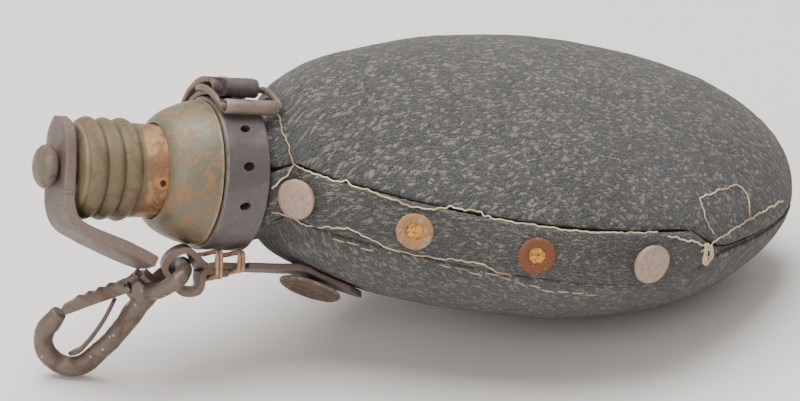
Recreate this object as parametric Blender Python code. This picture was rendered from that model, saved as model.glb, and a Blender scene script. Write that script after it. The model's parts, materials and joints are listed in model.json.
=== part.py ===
"""Felt-covered field flask, lying on its back with the snap hook as a prop.

Frame: metres, +Z up, +X from the neck to the bottom end, -Y is the side with the press studs.
Everything is modelled in the flask's own frame (neck axis along X through y = z = 0, x = 0 where
the wool cover starts) and hung on one empty, which tips the flask on to the ground.
"""
import math

import bmesh
import bpy
from mathutils import Matrix, Vector

MM = 0.001
GAP = 0.3 * MM                      # clearance kept between neighbouring pieces

# body of the flask, outside of the wool
BODY_LENGTH = 170 * MM
BODY_WIDTH = 43.8 * MM              # amplitude of the half width
BODY_DEPTH = 29.1 * MM              # amplitude of the half thickness
SHOULDER_RADIUS = 20.6 * MM
SECTION_POWER = 1.7                 # superellipse exponent of the cross section
AXIS_OFFSET = 3.6 * MM              # body mid-plane above the neck axis
COVER_WALL = 3.0 * MM
FLASK_WALL = 0.8 * MM
COVER_MOUTH_X = -7.8 * MM
COVER_STEPS = 22
COVER_ROWS = 17
LIP_ROWS = 4
LIP_SETBACK = 0.8 * MM              # underside panel's edge below the flap's edge
LIP_MINIMUM = 0.4 * MM

# pose on the ground
LYING_PITCH = math.radians(12.13)   # neck end raised
FLAT_DEPTH = 2.0 * MM               # how far the belly is pressed flat

# neck, cap and collar
NECK_RADIUS = 10.6 * MM
NECK_WALL = 0.8 * MM
MOUTH_X = -55.0 * MM
THREAD_HEIGHT = 1.2 * MM
RIB_PITCH = 5.2 * MM
RIB_COUNT = 3
FIRST_RIB_X = -56.6 * MM
RIB_RADIUS = 14.6 * MM
SLEEVE_RADIUS = 13.3 * MM
CAP_WALL = 1.0 * MM
CAP_END_X = -60.4 * MM
CAP_SKIRT_X = -34.2 * MM
COLLAR_TOP_X = -36.0 * MM
COLLAR_RIM_X = -22.2 * MM
COLLAR_WALL = 1.0 * MM
STUD_HEAD_RADIUS = 6.3 * MM
STUD_HEAD_HEIGHT = 6.0 * MM
STUD_SHANK_RADIUS = 2.8 * MM

# neck strap and its roller buckle
NECK_STRAP_X = (-21.6 * MM, -8.4 * MM)
NECK_STRAP_RADIUS = 22.0 * MM
NECK_STRAP_THICK = 2.5 * MM
COLLAR_RIM_RADIUS = NECK_STRAP_RADIUS - 1.1 * MM    # the strap stands proud of the collar
NECK_PLATE_X = NECK_STRAP_X[1] - GAP    # end plate of the neck's drum, brazed to the body
WAIST_RADIUS = SHOULDER_RADIUS - COVER_WALL - GAP - 2.6 * MM
STRAP_HOLE_RADIUS = 1.3 * MM
FIRST_HOLE_ANGLE = math.radians(32)
STRAP_HOLE_SPACING = math.radians(30.3)
BUCKLE_X = (-20.4 * MM, -4.8 * MM)
ROLLER_ANGLE = math.radians(17)     # from the top towards -Y
ROLLER_RADIUS = 2.2 * MM
BUCKLE_WIRE = 1.05 * MM
BACK_BAR_ANGLE = math.radians(-27)
CHAPE_THICK = 5.4 * MM
CHAPE_END_ANGLE = math.radians(-72)

# harness: cap strap, hook loop and back strap lie in one plane through the neck axis
HARNESS_TURN = math.radians(27)     # from straight below towards -Y
STRAP_WIDTH = 16.0 * MM
END_BLUNTNESS = 0.07                # squared share of the width left at a rounded end
CAP_STRAP_THICK = 3.0 * MM
HARNESS_THICK = 1.9 * MM
LOOP_HALF_WIDTH = 3.9 * MM
BINDING_WIRE = 0.6 * MM
HARNESS_TOP = NECK_STRAP_RADIUS + 1.4 * MM      # the bound layers pass under the neck strap
BAR_X = (-18.3 * MM, -11.5 * MM)
BAR_WIDTH = 2.2 * MM
DISC_X = 14.3 * MM
DISC_RADIUS = 9.2 * MM
DISC_SHANK = 2.2 * MM
DISC_TILT = math.radians(8)
BACK_STRAP_END_X = 29.0 * MM

# press-stud flap
FLAP_HALF_WIDTH = 7.6 * MM
FLAP_THICK = 1.3 * MM
FLAP_END_X = 121.0 * MM
FLAP_TAPER = 15.0 * MM
PLY_GAP = 0.6 * MM
STUD_ARC_START = 3.2 * MM
STUD_ARC_SPACING = 35.1 * MM
STUD_COUNT = 4
STUD_CAP_RADIUS = 5.8 * MM
FLAP_HOLE_RADIUS = 3.3 * MM
SOCKET_TOP = 0.9 * MM               # height of the washers over the flap
CAPPED_STUDS = (0, 3)

# snap hook
HOOK_X = -26.8 * MM                 # crossbar of the hook's eye
HOOK_DEPTH = HARNESS_TOP + 2 * HARNESS_THICK + 0.18 * MM     # between the two tails of its loop
HOOK_ASIDE = 1.76 * MM
HOOK_HEADING = math.radians(31.7)   # from -X towards +Y, seen from above
HOOK_DIP = math.radians(45.5)
EYE_SKEW = math.radians(21)         # crossbar's lean in the plane of the eye
EYE_HALF_WIDTH = 6.4 * MM
EYE_ROD = 2.4 * MM
HOOK_ROD = 3.0 * MM
SHOULDER_S = 12.5 * MM
BEND_CENTRE = Vector((42.5, -5.6)) * MM
BEND_RADIUS = 7.8 * MM
TIP_S = 37.4 * MM
TIP_V = -14.2 * MM
PIVOT_S = 15.4 * MM
PIVOT_V = -6.6 * MM
GATE_THICK = 3.0 * MM
GATE_PIN_RADIUS = 1.0 * MM
GATE_TEETH = 4
LEAF_THICK = 1.2 * MM

UP = Vector((-math.sin(LYING_PITCH), 0, math.cos(LYING_PITCH)))


# ---------------------------------------------------------------- helpers

def clear_scene():
    for obj in list(bpy.data.objects):
        bpy.data.objects.remove(obj, do_unlink=True)


def material(name, colour, roughness, metallic):
    mat = bpy.data.materials.new(name)
    mat.use_nodes = True
    shader = mat.node_tree.nodes["Principled BSDF"]
    shader.inputs["Base Color"].default_value = (*colour, 1)
    shader.inputs["Roughness"].default_value = roughness
    shader.inputs["Metallic"].default_value = metallic
    return mat


def finish(bm, name, finish_values, parent, smooth=40):
    """Turn a bmesh into a named object with its own material."""
    bmesh.ops.remove_doubles(bm, verts=bm.verts, dist=1e-6)
    bmesh.ops.recalc_face_normals(bm, faces=bm.faces)
    mesh = bpy.data.meshes.new(name)
    bm.to_mesh(mesh)
    bm.free()
    mesh.shade_smooth()
    mesh.set_sharp_from_angle(angle=math.radians(smooth))
    obj = bpy.data.objects.new(name, mesh)
    bpy.context.collection.objects.link(obj)
    mesh.materials.append(material(name, *finish_values))
    obj.parent = parent
    return obj


def empty(name, matrix, parent):
    obj = bpy.data.objects.new(name, None)
    bpy.context.collection.objects.link(obj)
    obj.parent = parent
    obj.matrix_local = matrix
    return obj


def loft(rings, closed=False):
    """Skin a list of equal rings of points into a closed body."""
    bm = bmesh.new()
    rows = [[bm.verts.new(p) for p in ring] for ring in rings]
    count = len(rows[0])
    pairs = list(zip(rows, rows[1:]))
    if closed:
        pairs.append((rows[-1], rows[0]))
    for first, second in pairs:
        for i in range(count):
            j = (i + 1) % count
            bm.faces.new((first[i], first[j], second[j], second[i]))
    if not closed:
        bm.faces.new(rows[0][::-1])
        bm.faces.new(rows[-1])
    return bm


def turned(profile, segments=40):
    """Spin a closed outline of (x, radius) points about the X axis."""
    bm = bmesh.new()
    verts = [bm.verts.new((x, 0, r)) for x, r in profile]
    edges = [bm.edges.new((a, b)) for a, b in zip(verts, verts[1:])]
    meets_axis = profile[0][1] == 0 and profile[-1][1] == 0
    if not meets_axis:
        edges.append(bm.edges.new((verts[-1], verts[0])))
    bmesh.ops.spin(bm, geom=verts + edges, cent=(0, 0, 0), axis=(1, 0, 0),
                   angle=2 * math.pi, steps=segments, use_merge=True)
    return bm


def arc(centre, radius, start, stop, count):
    """Points on a circle in a plane, angles in degrees."""
    points = []
    for k in range(count + 1):
        a = math.radians(start + (stop - start) * k / count)
        points.append((centre[0] + radius * math.cos(a), centre[1] + radius * math.sin(a)))
    return points


def smooth_path(points, per_span=4):
    """Catmull-Rom curve through the given points."""
    path = []
    last = len(points) - 1
    for k in range(last):
        p0, p1 = points[max(k - 1, 0)], points[k]
        p2, p3 = points[k + 1], points[min(k + 2, last)]
        for n in range(per_span):
            t = n / per_span
            path.append(0.5 * (2 * p1 + (p2 - p0) * t + (2 * p0 - 5 * p1 + 4 * p2 - p3) * t * t
                               + (3 * p1 - p0 - 3 * p2 + p3) * t ** 3))
    path.append(points[last].copy())
    return path


def tangents(path, closed=False):
    result = []
    last = len(path) - 1
    for k in range(len(path)):
        before = path[k - 1] if closed or k > 0 else path[0]
        after = path[(k + 1) % len(path)] if closed or k < last else path[last]
        result.append((after - before).normalized())
    return result


def rod(path, radii, across, sides=12, closed=False):
    """Round bar along a path; across is a direction never parallel to it."""
    rings = []
    for point, ahead, radius in zip(path, tangents(path, closed), radii):
        side = across.cross(ahead).normalized()
        lift = ahead.cross(side)
        rings.append([point + radius * (math.cos(a) * side + math.sin(a) * lift)
                      for a in (2 * math.pi * k / sides for k in range(sides))])
    return loft(rings, closed=closed)


def strap_section(point, ahead, across, half_width, thick, edge=0.5 * MM):
    """Eight-cornered leather section with chamfered edges."""
    normal = ahead.cross(across).normalized()
    h = thick / 2
    corners = [(-half_width, -h + edge), (-half_width, h - edge), (-half_width + edge, h),
               (half_width - edge, h), (half_width, h - edge), (half_width, -h + edge),
               (half_width - edge, -h), (-half_width + edge, -h)]
    return [point + across * a + normal * b for a, b in corners]


def strap(path, half_widths, acrosses, thick):
    rings = [strap_section(p, t, a, w, thick)
             for p, t, w, a in zip(path, tangents(path), half_widths, acrosses)]
    return loft(rings)


def cut(target, cutter):
    cutter.hide_render = True
    cutter.display_type = "WIRE"
    hole = target.modifiers.new("hole", "BOOLEAN")
    hole.operation = "DIFFERENCE"
    hole.solver = "EXACT"
    hole.object = cutter


def round_cutter(name, centre, direction, radius, depth, parent, sides=16):
    bm = bmesh.new()
    turn = direction.to_track_quat("Z", "Y").to_matrix().to_4x4()
    bmesh.ops.create_cone(bm, cap_ends=True, segments=sides, radius1=radius, radius2=radius,
                          depth=depth, matrix=Matrix.Translation(centre) @ turn)
    return finish(bm, name, ((0.5, 0.5, 0.5), 0.5, 0), parent)


# ---------------------------------------------------------------- body shape

def blend_in(value):
    t = min(max(value, 0), 1)
    return t * t * (3 - 2 * t)


def body_centre(x):
    """Height of the body's mid-plane over the neck axis."""
    return AXIS_OFFSET * blend_in((x - COVER_MOUTH_X) / (10 * MM))


def body_station(t, inset):
    """Place, half width, half thickness and centre height at parameter t of the long axis."""
    ease = (1 + math.cos(t)) / 2
    x = inset + (BODY_LENGTH - 2 * inset) * (1 - math.cos(t)) / 2
    neck = (SHOULDER_RADIUS - inset) * ease
    width = neck + (BODY_WIDTH - inset) * math.sin(t) * (
        1 - 0.12 * math.cos(t) - 0.24 * math.cos(2 * t))
    depth = neck + (BODY_DEPTH - inset) * math.sin(t) * (
        1 - 0.31 * math.cos(t) - 0.01 * math.cos(2 * t))
    return x, width, depth, body_centre(x)


def section_at(x):
    """Body section at a place along the axis; the wool is a plain tube before the shoulder."""
    if x < 0:
        return x, SHOULDER_RADIUS, SHOULDER_RADIUS, body_centre(x)
    return body_station(math.acos(1 - 2 * min(x / BODY_LENGTH, 1)), 0)


def floor_level():
    """Height of the ground along UP, from the lowest point of the round belly."""
    lowest = 0
    for k in range(1, 60):
        x, width, depth, centre = body_station(math.pi * k / 60, 0)
        lowest = min(lowest, Vector((x, 0, centre - depth)).dot(UP))
    return lowest + FLAT_DEPTH


FLOOR = floor_level()


def pressed(point, inset):
    """Flatten whatever would reach below the ground."""
    short = FLOOR + inset - point.dot(UP)
    return point + UP * short if short > 0 else point


def body_point(station, angle, inset):
    """Angle 0 is the press-stud side, 90 degrees the top, 180 the far seam."""
    x, width, depth, centre = station
    power = 2 / SECTION_POWER
    c, s = math.cos(angle), math.sin(angle)
    y = -width * math.copysign(abs(c) ** power, c)
    z = depth * math.copysign(abs(s) ** power, s)
    return pressed(Vector((x, y, centre + z)), inset)


def edge_angle(height, depth):
    """Section angle at which the surface is the given height off the mid-plane."""
    ratio = min(max(height / depth, -1), 1)
    return math.copysign(math.asin(abs(ratio) ** (SECTION_POWER / 2)), ratio)


def harness_axes():
    down = Vector((0, -math.sin(HARNESS_TURN), -math.cos(HARNESS_TURN)))
    across = Vector((0, -math.cos(HARNESS_TURN), math.sin(HARNESS_TURN)))
    return down, across


DOWN, ACROSS = harness_axes()


def harness(x, depth, side=0.0):
    return Vector((x, 0, 0)) + DOWN * depth + ACROSS * side


def cover_reach(x, side):
    """Distance from the neck axis, along the harness direction, to the wool's outside."""
    t = math.acos(1 - 2 * min(max(x / BODY_LENGTH, 0), 1))
    station = body_station(t, 0)
    width, depth, centre = station[1:]
    reach = 10 * MM
    while reach < 60 * MM:
        p = harness(x, reach, side)
        inside = abs(p.y / width) ** SECTION_POWER + abs((p.z - centre) / depth) ** SECTION_POWER
        if inside >= 1:
            break
        reach += 0.1 * MM
    return reach


# ---------------------------------------------------------------- flask and cover

def make_flask(parent):
    """Metal body, open at the shoulder where the neck is brazed on."""
    inset = COVER_WALL + GAP
    sides = 40
    steps = 20
    angles = [2 * math.pi * k / sides for k in range(sides)]

    def body_rings(offset):
        rings = []
        for k in range(steps, -1, -1):
            t = 0.985 * math.pi * k / steps
            station = body_station(t, offset)
            rings.append([body_point(station, a, offset) for a in angles])
        return rings

    def mouth_ring(radius):
        x = NECK_PLATE_X + GAP
        return [Vector((x, -radius * math.cos(a), radius * math.sin(a))) for a in angles]

    rings = body_rings(inset) + [mouth_ring(WAIST_RADIUS), mouth_ring(WAIST_RADIUS - FLASK_WALL)]
    rings += body_rings(inset + FLASK_WALL)[::-1]
    finish(loft(rings), "flask_shell", ((0.45, 0.44, 0.40), 0.45, 0.9), parent)


def make_neck(parent):
    """Drum under the neck strap, cone and threaded neck, turned in one piece."""
    drum = NECK_STRAP_RADIUS - NECK_STRAP_THICK - 2 * GAP
    bore = NECK_RADIUS - NECK_WALL
    outer = [(NECK_PLATE_X, WAIST_RADIUS - FLASK_WALL), (NECK_PLATE_X, drum), (COLLAR_RIM_X, drum),
             (COLLAR_RIM_X - 8 * MM, drum - 3.4 * MM), (COLLAR_TOP_X + 2 * MM, NECK_RADIUS + 0.6 * MM)]
    for k in range(RIB_COUNT - 1):
        x = FIRST_RIB_X + RIB_PITCH * (RIB_COUNT - 1 - k) + RIB_PITCH / 2
        outer += [(x + 1.2 * MM, NECK_RADIUS), (x + 0.4 * MM, NECK_RADIUS + THREAD_HEIGHT),
                  (x - 0.4 * MM, NECK_RADIUS + THREAD_HEIGHT), (x - 1.2 * MM, NECK_RADIUS)]
    outer.append((MOUTH_X, NECK_RADIUS))
    inner = [(MOUTH_X, bore), (COLLAR_TOP_X + 3 * MM, bore),
             (COLLAR_RIM_X - 7 * MM, drum - 4.4 * MM), (COLLAR_RIM_X + MM, drum - FLASK_WALL),
             (NECK_PLATE_X - FLASK_WALL, drum - FLASK_WALL),
             (NECK_PLATE_X - FLASK_WALL, WAIST_RADIUS - FLASK_WALL)]
    finish(turned(outer + inner), "flask_neck", ((0.45, 0.44, 0.40), 0.45, 0.9), parent)


def panel(name, parent, sign):
    """Half of the wool cover: sign +1 is the top, -1 the underside with its hidden lip."""
    rings = []
    stations = [body_station(0.995 * math.pi * k / COVER_STEPS, 0) for k in range(COVER_STEPS + 1)]
    mouth = (COVER_MOUTH_X, stations[0][1], stations[0][2], 0)
    for station in [mouth] + stations:
        x, width, depth, centre = station
        edge = flap_edge(x) + (GAP if sign > 0 else LIP_SETBACK)
        wall = min(COVER_WALL, 0.5 * min(width, depth))
        inside = (min(x, BODY_LENGTH - wall), width - wall, depth - wall, centre)
        outer = panel_row(station, edge, sign, 0)
        inner = panel_row(inside, min(edge, inside[2]), sign, wall)
        if sign < 0:
            ply = (FLAP_THICK + PLY_GAP) * wall / COVER_WALL
            layer = (x, width - ply, depth - ply, centre)
            top = max(flap_edge(x) - GAP, LIP_MINIMUM - edge)
            heights = [top + (-edge * 0.98 - top) * k / LIP_ROWS for k in range(LIP_ROWS + 1)]
            outer = [body_point(layer, edge_angle(h, layer[2]), ply) for h in heights] + outer
            inner = [body_point(inside, edge_angle(h, inside[2]), wall) for h in heights] + inner
        rings.append(outer + inner[::-1])
    return finish(loft(rings), name, ((0.10, 0.10, 0.11), 0.95, 0), parent)


def panel_row(station, edge, sign, inset):
    """Points from the flap's side over the top, or under the belly, to the far seam."""
    depth = station[2]
    start = edge_angle(edge, depth)
    stop = math.pi - edge_angle(GAP / 2, depth)
    return [body_point(station, sign * (start + (stop - start) * k / COVER_ROWS), inset)
            for k in range(COVER_ROWS + 1)]


def flap_edge(x):
    """Height of the flap's long edges off the mid-plane."""
    taper = blend_in((FLAP_END_X - x) / FLAP_TAPER)
    return (FLAP_HALF_WIDTH - GAP) * taper + GAP / 2


def make_flap(parent):
    """Strip of wool on the same stations as the cover, lying over the hidden lip."""
    rows = LIP_ROWS
    stations = [section_at(COVER_MOUTH_X + 2 * GAP)]
    for k in range(COVER_STEPS + 1):
        station = body_station(0.995 * math.pi * k / COVER_STEPS, 0)
        if station[0] < FLAP_END_X - 4 * GAP:
            stations.append(station)
    rings = []
    for x, width, depth, centre in stations:
        half = flap_edge(x) - GAP / 2
        inside = (x, width - FLAP_THICK, depth - FLAP_THICK, centre)
        heights = [half * (1 - 2 * n / rows) for n in range(rows + 1)]
        outer = [body_point((x, width, depth, centre), edge_angle(h, depth), 0) for h in heights]
        inner = [body_point(inside, edge_angle(h, inside[2]), 0) for h in heights]
        rings.append(outer + inner[::-1])
    return finish(loft(rings), "stud_flap", ((0.11, 0.11, 0.12), 0.95, 0), parent)


def side_line(x):
    """Point on the press-stud side of the body."""
    width, centre = section_at(x)[1], section_at(x)[3]
    return Vector((x, -width, centre))


def stud_places():
    """Points and outward normals of the press studs, equally spaced along the side line."""
    places = []
    travelled = 0.0
    step = 0.1 * MM
    x = 0.0
    while len(places) < STUD_COUNT:
        travelled += (side_line(x + step) - side_line(x)).length
        x += step
        if travelled < STUD_ARC_START + STUD_ARC_SPACING * len(places):
            continue
        here = side_line(x)
        near = 0.6 * STUD_CAP_RADIUS
        along = (side_line(x + near) - side_line(x - near)).normalized()
        normal = Vector((along.y, -along.x, 0))
        lift = 0.0
        for k in range(-20, 21):
            other = side_line(x + STUD_CAP_RADIUS * k / 20) - here
            if abs(other.dot(along)) < STUD_CAP_RADIUS:
                lift = max(lift, other.dot(normal))
        places.append((here + normal * lift, normal))
    return places


def facing(point, normal, parent, name):
    """Empty whose +Z looks outwards at a place on the surface."""
    turn = normal.to_track_quat("Z", "Y").to_matrix().to_4x4()
    return empty(name, Matrix.Translation(point) @ turn, parent)


def button(profile, sides=24):
    """Turned piece about the local Z axis from (radius, height) points."""
    bm = turned([(z, r) for r, z in profile], sides)
    bmesh.ops.rotate(bm, verts=bm.verts, cent=(0, 0, 0), matrix=Matrix.Rotation(-math.pi / 2, 3, "Y"))
    return bm


def make_press_studs(parent, flap):
    """A post on the hidden lip and a socket in the flap at each place; two sockets keep caps."""
    r = STUD_CAP_RADIUS
    for k, (point, normal) in enumerate(stud_places()):
        number = k + 1
        cut(flap, round_cutter(f"flap_hole_{number}", point, normal, FLAP_HOLE_RADIUS,
                               6 * FLAP_THICK, parent))
        spot = facing(point, normal, parent, f"stud_{number}_place")
        # socket: a washer with a short eyelet in the flap's hole
        tube = FLAP_HOLE_RADIUS - GAP
        bore = tube - 0.5 * MM
        socket = [(tube, -0.6 * MM), (tube, 0.25 * MM), (r * 0.93, 0.25 * MM), (r * 0.93, 0.65 * MM),
                  (r * 0.8, SOCKET_TOP), (bore, SOCKET_TOP - 0.1 * MM), (bore, -0.6 * MM)]
        finish(button(socket), f"stud_socket_{number}", ((0.45, 0.38, 0.32), 0.5, 0.8), spot)
        base = -FLAP_THICK - GAP
        post = [(0, base), (1.5 * MM, base), (1.5 * MM, -0.5 * MM), (1.1 * MM, -0.2 * MM), (0, -0.1 * MM)]
        finish(button(post, 16), f"stud_post_{number}", ((0.50, 0.30, 0.16), 0.6, 0.7), spot)
        if k in CAPPED_STUDS:
            base = SOCKET_TOP + GAP
            cap = [(0, base), (r * 0.98, base), (r, base + 0.4 * MM), (r * 0.9, base + 0.9 * MM),
                   (r * 0.55, base + 1.25 * MM), (0, base + 1.35 * MM)]
            finish(button(cap), f"stud_cap_{number}", ((0.62, 0.52, 0.46), 0.45, 0.8), spot)


# ---------------------------------------------------------------- neck, cap, collar

def make_collar(parent):
    length = COLLAR_RIM_X - COLLAR_TOP_X
    mouth = SLEEVE_RADIUS + GAP + 0.1 * MM
    rise = COLLAR_RIM_RADIUS - mouth
    shape = [(0.0, 0.0), (0.02, 0.14), (0.07, 0.30), (0.16, 0.45), (0.32, 0.62), (0.52, 0.77),
             (0.74, 0.90), (0.90, 0.97), (1.0, 1.0)]
    outer = [(COLLAR_TOP_X + length * a, mouth + rise * b) for a, b in shape]
    inner = [(x + COLLAR_WALL * 0.8, r - COLLAR_WALL * 0.75) for x, r in outer[2:-1]]
    inner.append((COLLAR_RIM_X, COLLAR_RIM_RADIUS - COLLAR_WALL))
    profile = outer + inner[::-1] + [(COLLAR_TOP_X + COLLAR_WALL, mouth)]
    return finish(turned(profile, 48), "neck_collar", ((0.33, 0.34, 0.28), 0.55, 0.2), parent)


def rib_profile():
    """Outside of the cap from the end face to the skirt: three round ribs, then a plain sleeve."""
    points = [(CAP_END_X, RIB_RADIUS - 2.0 * MM), (CAP_END_X + 0.6 * MM, RIB_RADIUS - 1.0 * MM)]
    height = (RIB_RADIUS - SLEEVE_RADIUS) / 2
    samples = 6
    start = FIRST_RIB_X - RIB_PITCH / 2
    for k in range(RIB_COUNT * samples + 1):
        x = start + RIB_PITCH * k / samples
        swell = -math.cos(2 * math.pi * k / samples)
        points.append((x, SLEEVE_RADIUS + 0.15 * MM + height * (1 + swell)))
    points.append((points[-1][0] + 1.0 * MM, SLEEVE_RADIUS))
    points.append((CAP_SKIRT_X, SLEEVE_RADIUS))
    return points


def make_cap(parent):
    outer = rib_profile()
    bore = SLEEVE_RADIUS - CAP_WALL
    inner = [(CAP_SKIRT_X, bore), (CAP_END_X + 2.0 * MM, bore), (CAP_END_X + 2.0 * MM, 0)]
    profile = [(CAP_END_X, 0)] + outer + inner
    return finish(turned(profile, 48), "screw_cap", ((0.50, 0.43, 0.33), 0.45, 0.7), parent)


def make_cap_seal(parent):
    start = CAP_END_X + 2.0 * MM + GAP
    stop = MOUTH_X - GAP
    radius = SLEEVE_RADIUS - CAP_WALL - GAP
    profile = [(start, 0), (start, radius), (stop, radius), (stop, 0)]
    return finish(turned(profile, 32), "cap_seal", ((0.25, 0.17, 0.12), 0.9, 0), parent)


def make_cap_stud(parent):
    leather = CAP_END_X - 1.6 * MM
    seat = leather - CAP_STRAP_THICK - GAP
    r = STUD_HEAD_RADIUS
    tip = seat - STUD_HEAD_HEIGHT
    profile = [(tip, 0), (tip + 0.5 * MM, r * 0.55), (tip + 1.5 * MM, r * 0.9), (tip + 2.6 * MM, r),
               (tip + 4.4 * MM, r), (tip + 5.2 * MM, r * 0.9), (seat, r * 0.62),
               (seat, STUD_SHANK_RADIUS), (CAP_END_X - 1.1 * MM, STUD_SHANK_RADIUS),
               (CAP_END_X - 1.1 * MM, 4.6 * MM), (CAP_END_X - GAP, 4.6 * MM), (CAP_END_X - GAP, 0)]
    return finish(turned(profile, 32), "cap_stud", ((0.42, 0.36, 0.33), 0.55, 0.8), parent)


# ---------------------------------------------------------------- neck strap and buckle

def around(x, angle, radius):
    """Point round the neck, angle from the top towards the press-stud side."""
    return Vector((x, -radius * math.sin(angle), radius * math.cos(angle)))


def band(x_range, inner, outer, start, stop, steps, edge=0.5 * MM):
    """Leather band bent round the neck axis."""
    rings = []
    a, b = x_range
    corners = [(a + edge, inner), (a, inner + edge), (a, outer - edge), (a + edge, outer),
               (b - edge, outer), (b, outer - edge), (b, inner + edge), (b - edge, inner)]
    for k in range(steps + 1):
        angle = start + (stop - start) * k / steps
        rings.append([around(x, angle, r) for x, r in corners])
    return loft(rings)


def make_neck_strap(parent):
    inner = NECK_STRAP_RADIUS - NECK_STRAP_THICK
    bm = band(NECK_STRAP_X, inner, NECK_STRAP_RADIUS, math.radians(-34), math.radians(318), 56)
    body = finish(bm, "neck_strap", ((0.16, 0.13, 0.14), 0.35, 0), parent)
    middle = sum(NECK_STRAP_X) / 2
    for k in range(3):
        angle = FIRST_HOLE_ANGLE + k * STRAP_HOLE_SPACING
        place = around(middle, angle, NECK_STRAP_RADIUS)
        direction = around(0, angle, 1)
        cutter = round_cutter(f"strap_hole_{k + 1}", place, direction, STRAP_HOLE_RADIUS,
                              4 * NECK_STRAP_THICK, parent, 10)
        cut(body, cutter)


def make_buckle(parent):
    """Roller buckle: leather chape, wire frame, roller and the rivet through the chape."""
    radius = NECK_STRAP_RADIUS + GAP + ROLLER_RADIUS
    left = BUCKLE_X[0] - 1.6 * MM
    right = BUCKLE_X[1] + 1.6 * MM
    # chape: leather folded round the back bar
    chape_in = NECK_STRAP_RADIUS + GAP
    chape_out = chape_in + CHAPE_THICK
    front = math.radians(-9)
    steps = 12
    outline = []
    for k in range(steps + 1):
        outline.append((front + (CHAPE_END_ANGLE - front) * k / steps, chape_out))
    outline[0] = (front, chape_out - 1.2 * MM)
    outline.insert(1, (front - 0.03, chape_out - 0.3 * MM))
    inner_side = [(angle, chape_in) for angle, _ in outline[::-1]]
    section = [around(0, a, r) for a, r in outline + inner_side]
    x0, x1 = BUCKLE_X[0] - 0.2 * MM, BUCKLE_X[1] - 1.4 * MM
    rings = [[p + Vector((x, 0, 0)) for p in section] for x in (x0, x1)]
    chape = finish(loft(rings), "buckle_chape", ((0.18, 0.15, 0.15), 0.4, 0), parent)
    bar = around(0, BACK_BAR_ANGLE, radius)
    axis = empty("buckle_axis", Matrix.Translation(Vector(((x0 + x1) / 2, 0, 0)) + bar), parent)
    bore = round_cutter("buckle_bore", Vector(((x0 + x1) / 2, bar.y, bar.z)), Vector((1, 0, 0)),
                        BUCKLE_WIRE + GAP, 30 * MM, parent)
    cut(chape, bore)
    # frame: one closed wire, back bar, two side rails and the roller's bar
    points = []
    count = 5
    for k in range(count + 1):
        angle = BACK_BAR_ANGLE + (ROLLER_ANGLE - BACK_BAR_ANGLE) * k / count
        points.append(around(left, angle, radius))
    for k in range(count + 1):
        angle = ROLLER_ANGLE + (BACK_BAR_ANGLE - ROLLER_ANGLE) * k / count
        points.append(around(right, angle, radius))
    local = [p - axis.location for p in points]
    rings = []
    for k, point in enumerate(local):
        ahead = (local[(k + 1) % len(local)] - local[k - 1]).normalized()
        angle = BACK_BAR_ANGLE + (ROLLER_ANGLE - BACK_BAR_ANGLE) * min(k, len(local) - 1 - k) / count
        lift = around(0, angle, 1)
        side = lift.cross(ahead).normalized()
        lengthwise = abs(ahead.x)
        stretch = 1.0 / max(0.7, lengthwise, math.sqrt(max(1 - lengthwise ** 2, 0)))
        rings.append([point + BUCKLE_WIRE * (math.cos(a) * side * stretch + math.sin(a) * lift)
                      for a in (2 * math.pi * n / 10 for n in range(10))])
    finish(loft(rings, closed=True), "buckle_frame", ((0.40, 0.36, 0.30), 0.5, 0.9), axis)
    spot = around(0, ROLLER_ANGLE, radius)
    length = (BUCKLE_X[1] - BUCKLE_X[0]) / 2 + 0.1 * MM
    r_in = BUCKLE_WIRE + GAP
    tube = [(-length, r_in), (-length, ROLLER_RADIUS), (length, ROLLER_RADIUS), (length, r_in)]
    roller_axis = empty("roller_axis", Matrix.Translation(
        Vector(((left + right) / 2, 0, 0)) + spot - axis.location), axis)
    finish(turned(tube, 16), "buckle_roller", ((0.42, 0.37, 0.33), 0.5, 0.8), roller_axis)
    # rivet through the chape
    place = around(x0 + 8.2 * MM, math.radians(-38), chape_out + GAP * 0.8)
    normal = around(0, math.radians(-38), 1)
    head = facing(place, normal, parent, "chape_rivet_place")
    dome = [(0, 0), (1.7 * MM, 0), (1.6 * MM, 0.5 * MM), (0.9 * MM, 0.9 * MM), (0, 1.0 * MM)]
    finish(button(dome, 12), "chape_rivet", ((0.45, 0.40, 0.36), 0.5, 0.9), head)


# ---------------------------------------------------------------- harness

def widths_from_round_end(path, half):
    """Half widths along a strap that starts with a rounded end."""
    widths = []
    travelled = 0.0
    for k, point in enumerate(path):
        travelled += (point - path[max(k - 1, 0)]).length
        short = max(1 - travelled / half, 0)
        widths.append(half * math.sqrt(max(END_BLUNTNESS, 1 - short ** 2)))
    return widths


def make_cap_strap(parent, lift):
    """Stiff strap: a head held by the cap stud, and a run to the bound loop."""
    face = CAP_END_X - 1.6 * MM - CAP_STRAP_THICK / 2
    split = 8.6 * MM
    half = STRAP_WIDTH / 2
    top = -14.4 * MM
    steps = 14
    path = [harness(face, top + (split - GAP / 2 - top) * (1 - math.cos(math.pi * k / steps / 2)))
            for k in range(steps + 1)]
    head = finish(strap(path, widths_from_round_end(path, half), [ACROSS] * len(path),
                        CAP_STRAP_THICK),
                  "cap_strap_head", ((0.20, 0.16, 0.15), 0.6, 0), lift)
    cut(head, round_cutter("stud_hole", Vector((face, 0, 0)), Vector((1, 0, 0)),
                           STUD_SHANK_RADIUS + GAP, 4 * CAP_STRAP_THICK, parent))
    corners = [harness(face, split + GAP / 2), harness(face, 11.5 * MM),
               harness(face + 2.2 * MM, 15.6 * MM), harness(face + 7.5 * MM, 18.6 * MM),
               harness(-47.0 * MM, 22.3 * MM), harness(-38.5 * MM, 25.4 * MM)]
    run = smooth_path(corners, 3)
    finish(strap(run, [half] * len(run), [ACROSS] * len(run), CAP_STRAP_THICK),
           "cap_strap_run", ((0.20, 0.16, 0.15), 0.6, 0), parent)


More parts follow.
